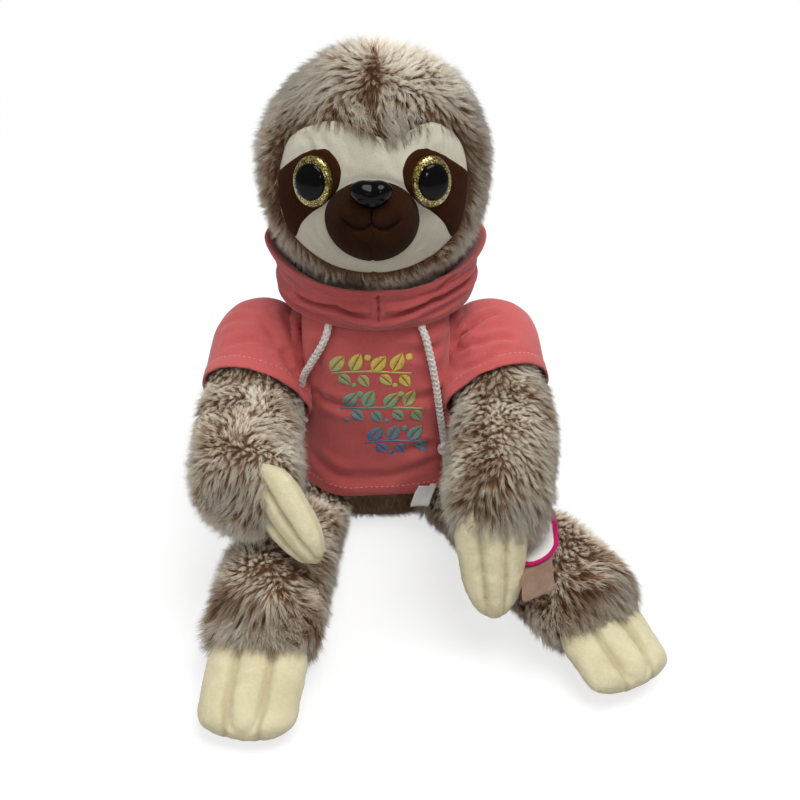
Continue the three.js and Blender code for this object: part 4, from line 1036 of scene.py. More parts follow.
def glitter():
    """Gold flakes, each tilted its own way, with dark gaps between, under a clear coat."""
    material, g, shell = new_material("gold_glitter")
    place = g.place()
    flake = g.add("ShaderNodeTexVoronoi", Vector=place, Scale=2100.0)
    pick = g.add("ShaderNodeSeparateXYZ", Vector=flake.outputs["Color"]).outputs
    grain = g.noise(place, 420.0, 3.0)["Fac"]
    level = g.math("ADD", g.math("MULTIPLY", pick["X"], 0.7), g.math("MULTIPLY", grain, 0.4))
    gold = g.ramp(level, (0.3, (26, 21, 7)), (0.5, (84, 70, 20)), (0.72, (158, 138, 44)), (0.95, (238, 222, 132)))
    tilt = g.add("ShaderNodeBump", Strength=0.8, Distance=0.12 * MM, Height=pick["Y"])
    rough = g.add("ShaderNodeMapRange", Value=pick["Z"], To_Min=0.2, To_Max=0.5)
    g.set(shell, Metallic=0.75, Coat_Weight=1, Coat_Roughness=0.03, Base_Color=gold,
          Roughness=rough.outputs["Result"], Normal=tilt.outputs["Normal"])
    return material


def polished_black(name, coat):
    """Moulded black plastic, polished, with faint waves and fine dust."""
    material, g, shell = new_material(name)
    place = g.place()
    wave = g.noise(place, 160.0, 2.0)["Fac"]
    dust = g.noise(place, 2600.0, 2.0)["Fac"]
    rough = g.add("ShaderNodeMapRange", Value=dust, To_Min=0.06, To_Max=0.18)
    ripple = g.add("ShaderNodeBump", Strength=0.25, Distance=0.15 * MM, Height=wave)
    g.set(shell, Coat_Weight=coat, Specular_IOR_Level=0.11, Coat_Roughness=0.04, Roughness=rough.outputs["Result"],
          Base_Color=g.ramp(dust, (0.5, (3, 3, 3)), (0.85, (16, 15, 14))), Normal=ripple.outputs["Normal"])
    return material


GLITTER = glitter()
PUPIL_BLACK = polished_black("pupil_black", 0.06)


def eye_frame(side):
    """A frame on the face at an eye, with Z outward, Y up and X across."""
    turn, tilt = math.radians(side * EYE_TURN), math.radians(EYE_TILT)
    out = Vector((math.sin(turn) * math.cos(tilt), -math.cos(turn) * math.cos(tilt), math.sin(tilt)))
    across = Vector((0, 0, 1)).cross(out).normalized()
    front = -math.sqrt(head_radius(EYE_HEIGHT) ** 2 - EYE_SIDE**2)
    return axes_at(Vector((side * EYE_SIDE, front, EYE_HEIGHT)) * MM, across, out.cross(across), out)


def iris_profile():
    line = [(0.93, -EYE_SEAT - 1.2), (0.985, -EYE_SEAT - 0.9)]
    for k in range(19):
        r = math.cos(k / 18 * math.pi / 2) ** 0.85 if k < 18 else 0
        line.append((r, EYE_SEAT + IRIS_BULGE * (0.12 + 0.9 * (1 - r**3.2) ** 0.6)))
    return line


def pupil_profile():
    line = [(0.9, PUPIL_RIM - 0.6), (1, PUPIL_RIM), (1.0, PUPIL_RIM + 0.5)]
    for k in range(1, 15):
        r = math.cos(k / 14 * math.pi / 2) if k < 14 else 0
        line.append((r * 0.985, PUPIL_RIM + 0.7 + (PUPIL_BULGE - 0.1) * math.sin(k / 14 * math.pi / 2) * 0.85))
    return line


def eye_part(name, profile, half, side):
    """An oval dome on the face at an eye."""
    form = spun(profile)
    bmesh.ops.scale(form, vec=(*half, 1), verts=form.verts)
    bmesh.ops.transform(form, matrix=eye_frame(side), verts=form.verts)
    return finished(name, form)


for name, side in (("right", -1), ("left", 1)):
    iris = eye_part("eye_dome_" + name, iris_profile(), IRIS_HALF, side)
    settle(iris, "head", "eye_iris_" + name, GLITTER)
    pupil = eye_part("eye_pupil_dome_" + name, pupil_profile(), PUPIL_HALF, side)
    settle(pupil, "head", "eye_pupil_" + name, PUPIL_BLACK)


# Muzzle
# Dark brown short plush, stuffed full, drawn in by the stitched mouth into two cheeks over a chin,
# with a seam below.
MUZZLE_CENTRE = (0, -56, 215.8)
MUZZLE_HALF = (24.5, 22, 22.5)
LIP_HEIGHT = 220.5
MOUTH_HALF_WIDTH = 14
MOUTH_SAG = 3.6


def fitted(form, half, centre):
    """Stretches a ball to its half sizes and sets it at its centre."""
    bmesh.ops.scale(form, vec=[h * MM for h in half], verts=form.verts)
    bmesh.ops.translate(form, vec=[c * MM for c in centre], verts=form.verts)
    return form


def lip_height_at(x):
    """The mouth's line, from the cleft out to its turned-up corners."""
    share = np.clip(np.abs(x) / MOUTH_HALF_WIDTH, 0, 1)
    return LIP_HEIGHT - MOUTH_SAG * np.sin(math.pi * share**0.85)


def shape_muzzle(piece):
    places = places_of(piece.data)
    x, z = places[:, 0] / MM, places[:, 2] / MM
    in_front = places[:, 1] < MUZZLE_CENTRE[1] * MM
    lip = lip_height_at(x)
    mouth_near = np.exp(-(((z - lip) / 1.5) ** 2)) * np.clip((MOUTH_HALF_WIDTH + 1.5 - np.abs(x)) / 2, 0, 1)
    cleft_near = np.exp(-((x / 1.6) ** 2)) * np.clip((z - LIP_HEIGHT + 1) / 2, 0, 1) * (z < 234)
    cheeks = np.exp(-(((np.abs(x) - 9.5) / 7) ** 2) - ((z - 224.5) / 5.5) ** 2)
    chin = np.exp(-((x / 12) ** 2) - ((z - 208) / 8) ** 2)
    seam_below = np.exp(-((x / 0.8) ** 2)) * (z < LIP_HEIGHT - 2)
    front = cheeks * 1.3 + chin * 0.9 - mouth_near * 1.3 - cleft_near * 1.2
    push_out(piece, (in_front * front - seam_below * 0.6 + noise_at(places, 60) * 0.35) * MM, places)


muzzle = finished("muzzle_cloth", fitted(ball(160, 110), MUZZLE_HALF, MUZZLE_CENTRE))
shape_muzzle(muzzle)
settle(muzzle, "head", "muzzle", plush_cloth(
    "muzzle_plush", (30, 12, 4), (50, 26, 10), fuzz=700, patch=60, bump=0.8, sheen=0.03, shine=0.05))


# Nose
# A polished black safety nose, widest at its two upper lobes, with shallow nostrils.
NOSE_CENTRE = (0, -73.5, 233.5)
NOSE_HALF = (10, 6.5, 7.2)


def nose_form():
    form = ball(80, 56)
    for v in form.verts:
        p = v.co.copy()
        p.x *= 1 + 0.28 * p.z
        lobe = math.exp(-(((abs(p.x) - 0.55) / 0.38) ** 2) - ((p.z - 0.42) / 0.5) ** 2) * 0.07
        dip = math.exp(-((p.x / 0.28) ** 2) - ((p.z - 0.75) / 0.5) ** 2) * 0.13
        nostril = math.exp(-(((abs(p.x) - 0.46) / 0.15) ** 2) - ((p.z + 0.2) / 0.16) ** 2) * 0.07 * (p.y < 0)
        v.co = p * (1 + lobe - dip - nostril)
    return fitted(form, NOSE_HALF, NOSE_CENTRE)


settle(finished("nose_shell", nose_form()), "head", "nose", polished_black("nose_black", 0.04))


# Mouth
# Dark embroidery thread, laid as short satin stitches down the cleft and out along both lips.
def thread_line(points, radius):
    """A twisted thread laid on the muzzle along points seen from in front."""
    tree = surface(muzzle)
    laid = [tree.ray_cast(Vector((p.x, -0.12, p.z)), Vector((0, 1, 0)))[:2] for p in points]
    rings = []
    for k, (place, out) in enumerate(laid):
        ahead = (laid[min(k + 1, len(laid) - 1)][0] - laid[max(k - 1, 0)][0]).normalized()
        side = ahead.cross(out).normalized()
        ease = min(1.0, 0.35 + min(k, len(laid) - 1 - k) * 0.3)
        ring = []
        for a in turns(8):
            thick = radius * ease * (1 + 0.22 * math.cos(2 * a + k * 0.9)) * MM
            ring.append(place + (side * math.cos(a) + out * math.sin(a)) * thick + out * 0.15 * MM)
        rings.append(ring)
    return tube_of_rings(rings)


def joined(forms):
    whole = bmesh.new()
    for form in forms:
        part = bpy.data.meshes.new("part")
        form.to_mesh(part)
        form.free()
        whole.from_mesh(part)
        bpy.data.meshes.remove(part)
    return whole


def mouth_lines():
    """The cleft, then each lip from it outward."""
    lips = [[(side * x, 0, float(lip_height_at(x))) for x in np.linspace(0, MOUTH_HALF_WIDTH, 46)] for side in (-1, 1)]
    cleft = [(0, 0, z) for z in np.linspace(229, LIP_HEIGHT, 24)]
    return [[Vector(p) * MM for p in line] for line in (cleft, *lips)]


mouth = finished("mouth_thread", joined([thread_line(line, 0.62) for line in mouth_lines()]))
settle(mouth, "head", "mouth_stitch",
       plush_cloth("mouth_thread", (8, 4, 3), (18, 10, 7), fuzz=2600, patch=300, bump=0.3, sheen=0, shine=0.1))


# Hoodie body
# A tube of fine salmon knit, wider than the torso, with a turned hem that rises over the thighs.
HOODIE_TOP = 151
HEM_HEIGHT = 31
HEM_RISE = 10.5
HEM_FOLD = 1.6
HEM_FOLDS = 7
HOODIE_SQUARENESS = 3.6
HEM_BAND = 7.5
HOODIE_SIDES = 180
HOODIE_ROWS = 72
HOODIE_OUT = 2.6
HOODIE_LEAN = 8
KNIT = 1.3


def knit_group():
    """Jersey round a tube whose axis is Z: columns of small loops, with a little fuzz."""
    inputs = (("Vector", "Vector"), ("Columns", "Float"), ("Rows", "Float"))
    g, given, out = node_group("jersey_loops", "ShaderNodeTree", inputs, (("Height", "Float"),))
    given = given.outputs
    place = g.add("ShaderNodeSeparateXYZ", Vector=given["Vector"]).outputs
    wobble = g.noise(given["Vector"], 260.0, 2.0)["Fac"]
    column = g.math("MULTIPLY", g.math("ARCTAN2", place["Y"], place["X"]), given["Columns"])
    column = g.math("ADD", column, g.math("MULTIPLY", wobble, 1.6))
    row = g.math("MULTIPLY", place["Z"], given["Rows"])
    slant = g.math("ABSOLUTE", g.math("SINE", g.math("MULTIPLY", column, 0.5)))
    loops = g.math("ABSOLUTE", g.math("SINE", g.math("ADD", row, g.math("MULTIPLY", slant, 1.4))))
    fuzz = g.noise(given["Vector"], 1400.0, 2.0)["Fac"]
    height = g.math("ADD", g.math("MULTIPLY", slant, 0.5), g.math("MULTIPLY", loops, 0.25))
    g.set(out, Height=g.math("ADD", height, g.math("MULTIPLY", fuzz, 0.5)))
    return g.tree


JERSEY_LOOPS = knit_group()


def jersey(name, centre=(0, 0, 0), turn=(0, 0, 0), columns=320, low=(180, 80, 80), high=(202, 99, 97)):
    """Fine salmon knit whose columns of loops run along a tube."""
    def loops(g):
        lay = g.add("ShaderNodeMapping", {"vector_type": "TEXTURE"}, Vector=g.place(), Location=Vector(centre) * MM,
                    Rotation=[math.radians(a) for a in turn])
        return g.add("ShaderNodeGroup", {"node_tree": JERSEY_LOOPS}, Vector=lay.outputs["Vector"], Columns=columns,
                     Rows=math.pi / (0.8 * MM)).outputs["Height"]
    return plush_cloth(name, low, high, fuzz=700, patch=22, bump=0.2, sheen=0.22, relief=loops, depth=0.22)


def hem_at(angle):
    """The height of the hem's edge, which rises over the thighs."""
    return HEM_HEIGHT + HEM_RISE * math.cos(angle) ** 2


def hoodie_point(angle, share, offset):
    hem = hem_at(angle)
    fold = HEM_FOLD * (1 + math.cos(angle * HEM_FOLDS)) / 2 * (1 - share) ** 2
    return torso_point(angle, hem + (HOODIE_TOP - hem) * share, offset + fold, HOODIE_SQUARENESS)


def hem_swell(above_hem):
    """How far a turned hem stands out of the cloth at a height above its edge, with its stitched groove."""
    band = 0.5 * np.clip((HEM_BAND + 0.6 - above_hem) / 1.2, 0, 1) - 0.35 * np.exp(-((above_hem / 1.0) ** 2))
    return (band - 0.55 * np.exp(-(((above_hem - HEM_BAND) / 0.7) ** 2))) * MM


STITCH_THREAD = plush_cloth("stitch_thread", (214, 128, 128), (234, 158, 152), fuzz=2500, patch=200, bump=0.1)


def stitches(name, line, body, pitch=3.2, length=2.2, radius=0.32, sink=0.1):
    """A row of stitches along a line of places with the cloth's normals: each a short plump thread."""
    form = bmesh.new()
    size = Matrix.Diagonal((radius * MM, length * MM / 2, radius * MM, 1))
    spots = [np.array(p) for p, n in line]
    run = np.concatenate([[0], np.cumsum([np.linalg.norm(b - a) for a, b in zip(spots, spots[1:])])])
    for k in range(int(run[-1] / (pitch * MM))):
        at = (k + 0.5) * pitch * MM
        i = min(int(np.searchsorted(run, at)) - 1, len(line) - 2)
        t = (at - run[i]) / max(run[i + 1] - run[i], 1e-9)
        (start, start_out), (end, end_out) = line[i], line[i + 1]
        out = start_out.lerp(end_out, t).normalized()
        along = (end - start).normalized()
        here = axes_at(start.lerp(end, t) - out * sink * MM, out.cross(along).normalized(), along, out)
        bmesh.ops.create_icosphere(form, subdivisions=1, radius=1, matrix=here @ size)
    settle(finished(name, form), body, material=STITCH_THREAD)


hoodie_cloth = finished("hoodie_body_cloth", tube_of_rings(
    [[hoodie_point(a, row / HOODIE_ROWS, HOODIE_OUT) * MM for a in turns(HOODIE_SIDES)]
     for row in range(HOODIE_ROWS + 1)], closed_ends=False))
places = places_of(hoodie_cloth.data)
around = np.arctan2(places[:, 1] - HOODIE_LEAN * MM, places[:, 0])
above = places[:, 2] / MM - HEM_HEIGHT - HEM_RISE * np.cos(around) ** 2
drape = np.array([noise.noise(Vector((math.cos(a) * 1.6, math.sin(a) * 1.6, h / 42)))
                  for a, h in zip(around, above)])
push_out(hoodie_cloth, drape * 1.5 * MM, places)
press_seen(hoodie_cloth, [
    ([(311, 388), (330, 402), (356, 410)], 1.3, 3.2),
    ([(312, 452), (336, 474), (372, 482)], 1.5, 3.5),
    ([(352, 470), (385, 478), (432, 462)], 1.0, 3.0),
    ([(396, 452), (424, 446), (446, 432)], 1.2, 3.4),
    ([(398, 402), (428, 396), (449, 381)], 1.1, 3.6),
    ([(404, 352), (428, 352), (447, 338)], 1.3, 3.4),
    ([(314, 345), (321, 372), (316, 402)], 1.2, 3.4),
    ([(432, 395), (448, 425), (452, 455)], 1.2, 3.2),
])
push_out(hoodie_cloth, hem_swell(above))
thickened(hoodie_cloth, KNIT)
settle(hoodie_cloth, "torso", "hoodie_body", jersey("jersey_upright", centre=(0, 5, 0)))

hoodie_surface = surface(hoodie_cloth)
hem_line = [hoodie_point(a, HEM_BAND / (HOODIE_TOP - hem_at(a)), 6) * MM for a in turns(240) + [2 * math.pi]]
stitches("hoodie_hem_stitches", [hoodie_surface.find_nearest(p)[:2] for p in hem_line], "torso")


# Hoodie sleeves
# Two short wide sleeves of the same knit, sewn into the body's armholes and puckered there, each with a
# turned, stitched hem. The sleeves ride on no body; their hem stitches ride on the arms.
SLEEVE_CUT = 38.5
SLEEVE_OUT = 5.5
SHOULDER_HEIGHT = 114


def cut_sleeve(sleeve, side, hem_place, hem_ahead):
    """Cuts the sleeve open at its hem and at its root."""
    form = bmesh.new()
    form.from_mesh(sleeve.data)
    root = Vector((side * SLEEVE_CUT * MM, 0, 0))
    for place, ahead in ((hem_place * MM, hem_ahead), (root, Vector((-side, 0, 0)))):
        bmesh.ops.bisect_plane(form, geom=all_of(form), plane_co=place, plane_no=ahead, clear_outer=True)
    form.to_mesh(sleeve.data)
    form.free()


def root_puckers(side):
    """Short creases that run out from the armhole's seam."""
    creases = []
    for k in range(9):
        a = math.radians(100 + k * 40)
        near = Vector((side * 45, 33 * math.cos(a), SHOULDER_HEIGHT + 33 * math.sin(a)))
        far = Vector((side * 62, 37 * math.cos(a + 0.25), SHOULDER_HEIGHT + 37 * math.sin(a + 0.25)))
        creases.append(([near * MM, far * MM], 1.0, 2.4))
    return creases


def make_sleeve(name, side, picture_creases):
    form = solid_copy("arm_fill_" + name)
    shoulder_height = SHOULDER_HEIGHT * MM
    for v in form.verts:
        if abs(v.co.x) < 47 * MM:
            v.co = Vector((side * 35 * MM, v.co.y * 0.74, shoulder_height + (v.co.z - shoulder_height) * 0.74))
    sleeve = stuffed("hoodie_sleeve_cloth_" + name, form, 1.7, rounds=24, lumps=1.0, grow=SLEEVE_OUT)
    hem_place, hem_ahead = (Vector(v) for v in SLEEVE_HEMS[name])
    cut_sleeve(sleeve, side, hem_place, hem_ahead)
    press_seen(sleeve, picture_creases)
    press(sleeve, root_puckers(side))
    hem_ahead.normalize()
    places = places_of(sleeve.data)
    push_out(sleeve, hem_swell(-((places / MM - np.array(hem_place)) @ np.array(hem_ahead))), places)
    thickened(sleeve, KNIT)
    knit = jersey("jersey_sleeve_" + name, centre=(side * 69, 0, SHOULDER_HEIGHT), turn=(68, 0, 0), columns=235)
    settle(sleeve, None, "hoodie_sleeve_" + name, knit)
    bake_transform(sleeve)
    across = hem_ahead.cross(Vector((0, 0, 1))).normalized()
    up = across.cross(hem_ahead).normalized()
    tree = surface(sleeve)
    rim = []
    for a in turns(180) + [2 * math.pi]:
        outward = across * math.cos(a) + up * math.sin(a)
        place, out = tree.ray_cast((hem_place - hem_ahead * HEM_BAND + outward * 60) * MM, -outward)[:2]
        if place is not None:
            rim.append((place, out))
    stitches("sleeve_hem_stitches_" + name, rim, "arm_" + name)


make_sleeve("right", -1, [
    ([(281, 288), (292, 302), (302, 322), (301, 348)], 3.0, 2.4),
    ([(266, 296), (283, 314), (294, 342)], 1.8, 2.4),
    ([(226, 345), (252, 339), (284, 352)], 1.3, 2.4),
    ([(284, 352), (290, 370), (303, 390)], 1.8, 2.4),
    ([(250, 308), (268, 330), (284, 362)], 1.0, 2.6),
    ([(222, 326), (240, 318), (262, 322)], 0.9, 2.4),
])
make_sleeve("left", 1, [
    ([(452, 342), (458, 318), (470, 298)], 2.8, 2.0),
    ([(454, 346), (470, 327), (496, 313)], 2.4, 2.2),
    ([(456, 352), (480, 343), (512, 338)], 2.0, 2.3),
    ([(448, 330), (448, 308), (455, 292)], 2.0, 2.0),
    ([(474, 304), (492, 294), (508, 297)], 1.4, 2.2),
    ([(458, 372), (480, 364), (504, 350)], 1.5, 2.2),
    ([(462, 390), (484, 380), (508, 372)], 1.2, 2.2),
])


# Cowl and hood
# One doubled ring of the same knit round the neck. In front it lies in two soft rolls, seamed down the
# middle, and behind it runs out into the lowered hood, a sagging pouch with a seam down its back.
COWL_SIDES = 280
COWL_SECTION = 96


def eased_step(value, start, end):
    t = min(max((value - start) / (end - start), 0), 1)
    return t * t * (3 - 2 * t)


def mixed(a, b, share):
    return a + (b - a) * share


def cowl_point(around, in_out, up_down):
    """A point of the cowl: round the neck, inward or outward and up or down its section."""
    front = (1 - math.sin(around)) / 2
    back = eased_step(1 - front, 0.62, 0.95)
    lowered, drawn_in = (eased_step(front, share, 1) for share in (0.4, 0.5))
    raised = eased_step(1 - front, 0, 0.5)
    low = mixed(mixed(151, 147.5, lowered), 112, back)
    high = mixed(mixed(173, 187, raised), 200, back)
    thick = mixed(4.6, 8, back)
    roll = 1 - 0.35 * math.exp(-((up_down / 0.22) ** 2)) * (1 - back)
    height = (low + high) / 2 + (high - low) / 2 * up_down
    collar = mixed(mixed(50, 44, drawn_in), 52, back)
    inner = max(collar, head_radius(height) + 1.2)
    sag = 3.2 * back * math.exp(-(((up_down + 0.35) / 0.5) ** 2)) * max(in_out, 0)
    radius = inner + thick + thick * roll * in_out + sag
    return Vector((radius * math.cos(around), radius * math.sin(around), height)) * MM


def cowl_ring(k):
    around = -math.pi / 2 + 2 * math.pi * k / COWL_SIDES
    return [cowl_point(around, math.cos(t), math.sin(t)) for t in turns(COWL_SECTION)]


def hood_folds():
    """Soft folds that fall down the lowered hood's back, and its seam."""
    folds = []
    for across, lean_by in ((-34, 10), (-17, 5), (16, -6), (33, -9)):
        top = cowl_point(math.atan2(60, across), 1, 0.7)
        foot = cowl_point(math.atan2(60, across + lean_by), 1, -0.6)
        folds.append(([top, top.lerp(foot, 0.5), foot], 1.5, 4.0))
    return folds + [([cowl_point(math.pi / 2, 1, 0.9 - 0.3 * k) for k in range(7)], 1.1, 1.2)]


cowl = finished("hoodie_cowl_cloth", closed_up(
    tube_of_rings([cowl_ring(k) for k in range(COWL_SIDES + 1)], closed_ends=False), 0.01 * MM))
places = places_of(cowl.data)
push_out(cowl, (noise_at(places, 30) + 0.5 * noise_at(places, 75)) * 0.9 * MM, places)
press_seen(cowl, [
    ([(266, 262), (275, 281), (299, 297), (337, 307), (374, 320)], 3.2, 2.1),
    ([(300, 288), (322, 298), (346, 303), (371, 305)], 1.5, 1.7),
    ([(281, 292), (303, 308), (330, 317)], 1.6, 1.8),
    ([(475, 268), (462, 284), (432, 300), (404, 312), (380, 321)], 2.9, 2.1),
    ([(384, 303), (410, 301), (436, 291), (452, 277)], 1.5, 1.7),
    ([(462, 294), (443, 307), (420, 316)], 1.5, 1.8),
    ([(378, 284), (378, 296), (378.5, 310), (379, 322)], 2.2, 0.9),
])
press(cowl, hood_folds())
# The cowl's knit is painted darker than the body's: a painted shadow of the head, which runs on round the hood behind.
COWL_JERSEY_PAINTED_SHADE = jersey("jersey_cowl_painted_shade", columns=400, low=(158, 68, 68), high=(180, 85, 83))
settle(cowl, "torso", "hoodie_cowl", COWL_JERSEY_PAINTED_SHADE)


# Drawstrings
# Two cords of off-white cotton, braided from eight strands round a core. They come out from under the
# cowl, lie down the front, and each ends in an overhand knot with a short frayed tail.
CORD_STANDOFF = 3.6
CORD_STEPS = 150
STRAND_TURN = 13.0
CORD_ROUTES = {
    "right": [(-25, 154), (-26, 147), (-29, 138), (-36.5, 124), (-42, 112), (-44.5, 98), (-45.5, 84), (-45.5, 70)],
    "left": [(24.5, 154), (26, 147), (29, 139), (34, 115), (37.5, 90), (41, 64), (43, 46)],
}
KNOT_SHARES = {"right": 0.88, "left": 0.84}
FRAY_SEEDS = {"right": 2.0, "left": 1.0}
FRAY_LENGTH = 4
KNOT_STEPS = 80
FIBRE_TURNS = (0.3, 1.9, 3.4, 5.0)


def on_hoodie(x, height, out):
    """A place in front of the hoodie's cloth, in millimetres."""
    drop = min(max((HOODIE_TOP - height) / (HOODIE_TOP - HEM_HEIGHT), 0), 1)
    across, deep, lean = torso_ring(height, 3 + HEM_FOLD * drop**2 + out)
    bulge = (1 - min(1, abs(x) / across) ** HOODIE_SQUARENESS) ** (1 / HOODIE_SQUARENESS)
    return Vector((x, lean - deep * bulge, height))


def smooth_line(points, steps):
    """A smooth open line through points, in even steps, with its length."""
    spots = [np.array(p) for p in points]
    spots = [2 * spots[0] - spots[1], *spots, 2 * spots[-1] - spots[-2]]
    line = [curve_through(*spots[k:k + 4], s / 24) for k in range(len(points) - 1) for s in range(24)]
    line = np.array(line + [spots[-2]])
    run = np.concatenate([[0], np.cumsum(np.linalg.norm(np.diff(line, axis=0), axis=1))])
    at = np.linspace(0, run[-1], steps + 1)
    return np.stack([np.interp(at, run, line[:, k]) for k in range(3)], axis=1), run[-1]


def cord_frames(line):
    """The line's own frames: ahead, across and outward from the cloth."""
    frames = []
    for k in range(len(line)):
        ahead = Vector(line[min(k + 1, len(line) - 1)] - line[max(k - 1, 0)]).normalized()
        across = ahead.cross(Vector((0, -1, 0))).normalized()
        frames.append((Vector(line[k]), ahead, across, across.cross(ahead)))
    return frames


def strand(frames, run, start_turn, hand, fray_from):
    """One strand of the braid: a flattened helix that dips under the strands that cross it."""
    rings = []
    for k, (place, ahead, across, out) in enumerate(frames):
        along = run * k / (len(frames) - 1)
        turned = 2 * math.pi * along / STRAND_TURN
        turn = start_turn + hand * turned
        weave = math.cos(4 * turned + start_turn * 4)
        loose = max(0.0, (along - fray_from) / max(run - fray_from, 1e-6))
        radius = 1.62 + 0.22 * weave * hand * (1 - loose) + loose * 1.2
        spoke = across * math.cos(turn) + out * math.sin(turn)
        around = (out * math.cos(turn) - across * math.sin(turn)) * hand
        middle = place + spoke * radius
        size = (1 - 0.45 * loose) * (0.5 if k in (0, len(frames) - 1) else 1)
        flat = (around * 0.9 + ahead * -0.3) * 0.86 * size
        rings.append([(middle + spoke * math.sin(a) * 0.52 * size + flat * math.cos(a)) * MM for a in turns(6)])
    return tube_of_rings(rings)


def overhand_knot(place, ahead, across, out):
    """An overhand knot pulled snug: one thick turn over another, drawn along the cord."""
    line = []
    for k in range(KNOT_STEPS + 1):
        t = 2 * math.pi * k / KNOT_STEPS
        spot = np.array((math.sin(t) + 2 * math.sin(2 * t), math.cos(t) - 2 * math.cos(2 * t), -math.sin(3 * t)))
        line.append(spot * (1.02, 1.12, 1.3))
    rings = []
    for k in range(KNOT_STEPS + 1):
        at = k % KNOT_STEPS
        tangent = Vector(line[at + 1] - line[at - 1] if at else line[1] - line[-2]).normalized()
        side = tangent.cross(Vector(-line[at]).normalized()).normalized()
        up = side.cross(tangent)
        ring = []
        for a in turns(12):
            ribs = 1 + 0.1 * math.cos(4 * a + k * 0.9) + 0.06 * math.cos(4 * a - k * 0.9)
            local = Vector(line[at]) + (side * math.cos(a) + up * math.sin(a)) * 1.75 * ribs
            ring.append((place + across * local.x + ahead * local.y + out * local.z) * MM)
        rings.append(ring)
    return closed_up(tube_of_rings(rings, closed_ends=False), 0.002 * MM)


def frayed_tail(frames, seed):
    """The tail's combed-out ends: thin tapering fibres that fan from the last of the braid."""
    forms = []
    place, ahead, across, out = frames[-4]
    for k in range(26):
        turn = seed + k * 2.4
        spread = 0.4 + (k % 7) / 7 * 1.5
        lean = across * math.cos(turn) + out * math.sin(turn) * 0.7
        rings = []
        for s in range(7):
            share = s / 6
            middle = place + lean * spread * (0.5 + 0.9 * share**1.4) + ahead * share * (5.2 + (k * 37 % 10) * 0.22)
            thick = 0.26 * (1 - share * 0.85)
            rings.append([(middle + (across * math.cos(a) + out * math.sin(a)) * thick) * MM for a in FIBRE_TURNS])
        forms.append(tube_of_rings(rings))
    return joined(forms)


COTTON = plush_cloth("cotton_strands", (206, 198, 190), (236, 231, 225), fuzz=2200, patch=260, bump=0.5, sheen=0.3)
for name, route in CORD_ROUTES.items():
    rough = [np.array(on_hoodie(x, height, CORD_STANDOFF)) for x, height in route]
    line, run = smooth_line(rough, CORD_STEPS)
    frames = cord_frames(line)
    forms = [strand(frames, run, k * math.pi / 2 + (hand < 0) * math.pi / 4, hand, run - FRAY_LENGTH)
             for k in range(4) for hand in (1, -1)]
    core = [[(p + (x * math.cos(a) + o * math.sin(a)) * 1.35) * MM for a in turns(8)] for p, n, x, o in frames[::3]]
    braid = finished("drawstring_braid_" + name, joined(forms + [tube_of_rings(core)]))
    place, ahead, across, out = frames[int(KNOT_SHARES[name] * CORD_STEPS)]
    knot = finished("drawstring_end_knot_" + name, overhand_knot(place + out * 1.2, ahead, across, out))
    tail = finished("drawstring_fray_" + name, frayed_tail(frames, FRAY_SEEDS[name]))
    settle(braid, "torso", "drawstring_" + name, COTTON)
    settle(knot, "torso", "drawstring_knot_" + name, COTTON)
    settle(tail, "torso", material=COTTON)


# Chest print
# A generic sprig pattern in flexible ink, laid thinly on the knit: three rows of leaves and berries that
# run from yellow-green to blue.
def print_ink():
    """Flexible ink, yellow-green above and blue below, cracked a little over the knit's loops."""
    material, g, ink = new_material("print_ink")
    place = g.place()
    split = g.add("ShaderNodeSeparateXYZ", Vector=place).outputs
    fall = g.math("SUBTRACT", g.math("MULTIPLY", split["Z"], 17.0), 1.14)
    fall = g.math("ADD", fall, g.math("MULTIPLY", split["X"], 9.0))
    rub = g.math("SUBTRACT", g.noise(place, 420.0, 4.0)["Fac"], 0.5)
    fall = g.math("ADD", fall, g.math("MULTIPLY", rub, 0.18))
    dye = g.ramp(fall, (0.08, (62, 112, 152)), (0.36, (84, 144, 142)), (0.62, (122, 164, 116)), (0.95, (206, 190, 84)))
    worn = g.noise(place, 900.0, 5.0)["Fac"]
    through = g.ramp(worn, (0.58, (0, 0, 0)), (0.66, (255, 255, 255)))
    mix = g.add("ShaderNodeMix", {"data_type": "RGBA"}, Factor=through, A=dye, B=srgb(198, 96, 100))
    bump = g.add("ShaderNodeBump", Strength=0.4, Distance=0.2 * MM, Height=worn)
    g.set(ink, Roughness=0.55, Base_Color=mix.outputs["Result"], Normal=bump.outputs["Normal"])
    return material


def printed(flat_form):
    """A flat shape, in millimetres across and up, laid on the hoodie's front."""
    for v in flat_form.verts:
        hit, out = hoodie_surface.ray_cast(Vector((v.co.x, -200, v.co.z)) * MM, Vector((0, 1, 0)))[:2]
        v.co = hit + out * 0.16 * MM
    return flat_form


def laid_out(form, x, z, lean):
    """Sets a flat shape at its place in the pattern, leaning by an angle."""
    turn = Matrix.Rotation(-math.radians(lean), 4, "Y")
    bmesh.ops.transform(form, matrix=Matrix.Translation((x, 0, z)) @ turn, verts=form.verts)
    return form


def leaf(x, z, length, width, lean):
    """A pointed leaf in two halves with a bare midrib between."""
    form = bmesh.new()
    for half in (-1, 1):
        made = bmesh.ops.create_grid(form, x_segments=10, y_segments=3, size=1)
        for v in made["verts"]:
            along, part = (v.co.x + 1) / 2, (v.co.y + 1) / 2
            out = 0.35 + part * width * math.sin(math.pi * along**0.8) ** 0.9
            v.co = Vector((along * length, 0, half * out * (0.05 + 0.95 * min(1, 6 * along * (1 - along) + 0.15))))
    return laid_out(form, x, z, lean)


def berry(x, z, radius):
    form = bmesh.new()
    bmesh.ops.create_circle(form, cap_ends=True, segments=16, radius=radius)
    bmesh.ops.inset_region(form, faces=form.faces[:], thickness=radius * 0.5, use_boundary=True)
    for v in form.verts:
        v.co = Vector((x + v.co.x, 0, z + v.co.y))
    return form


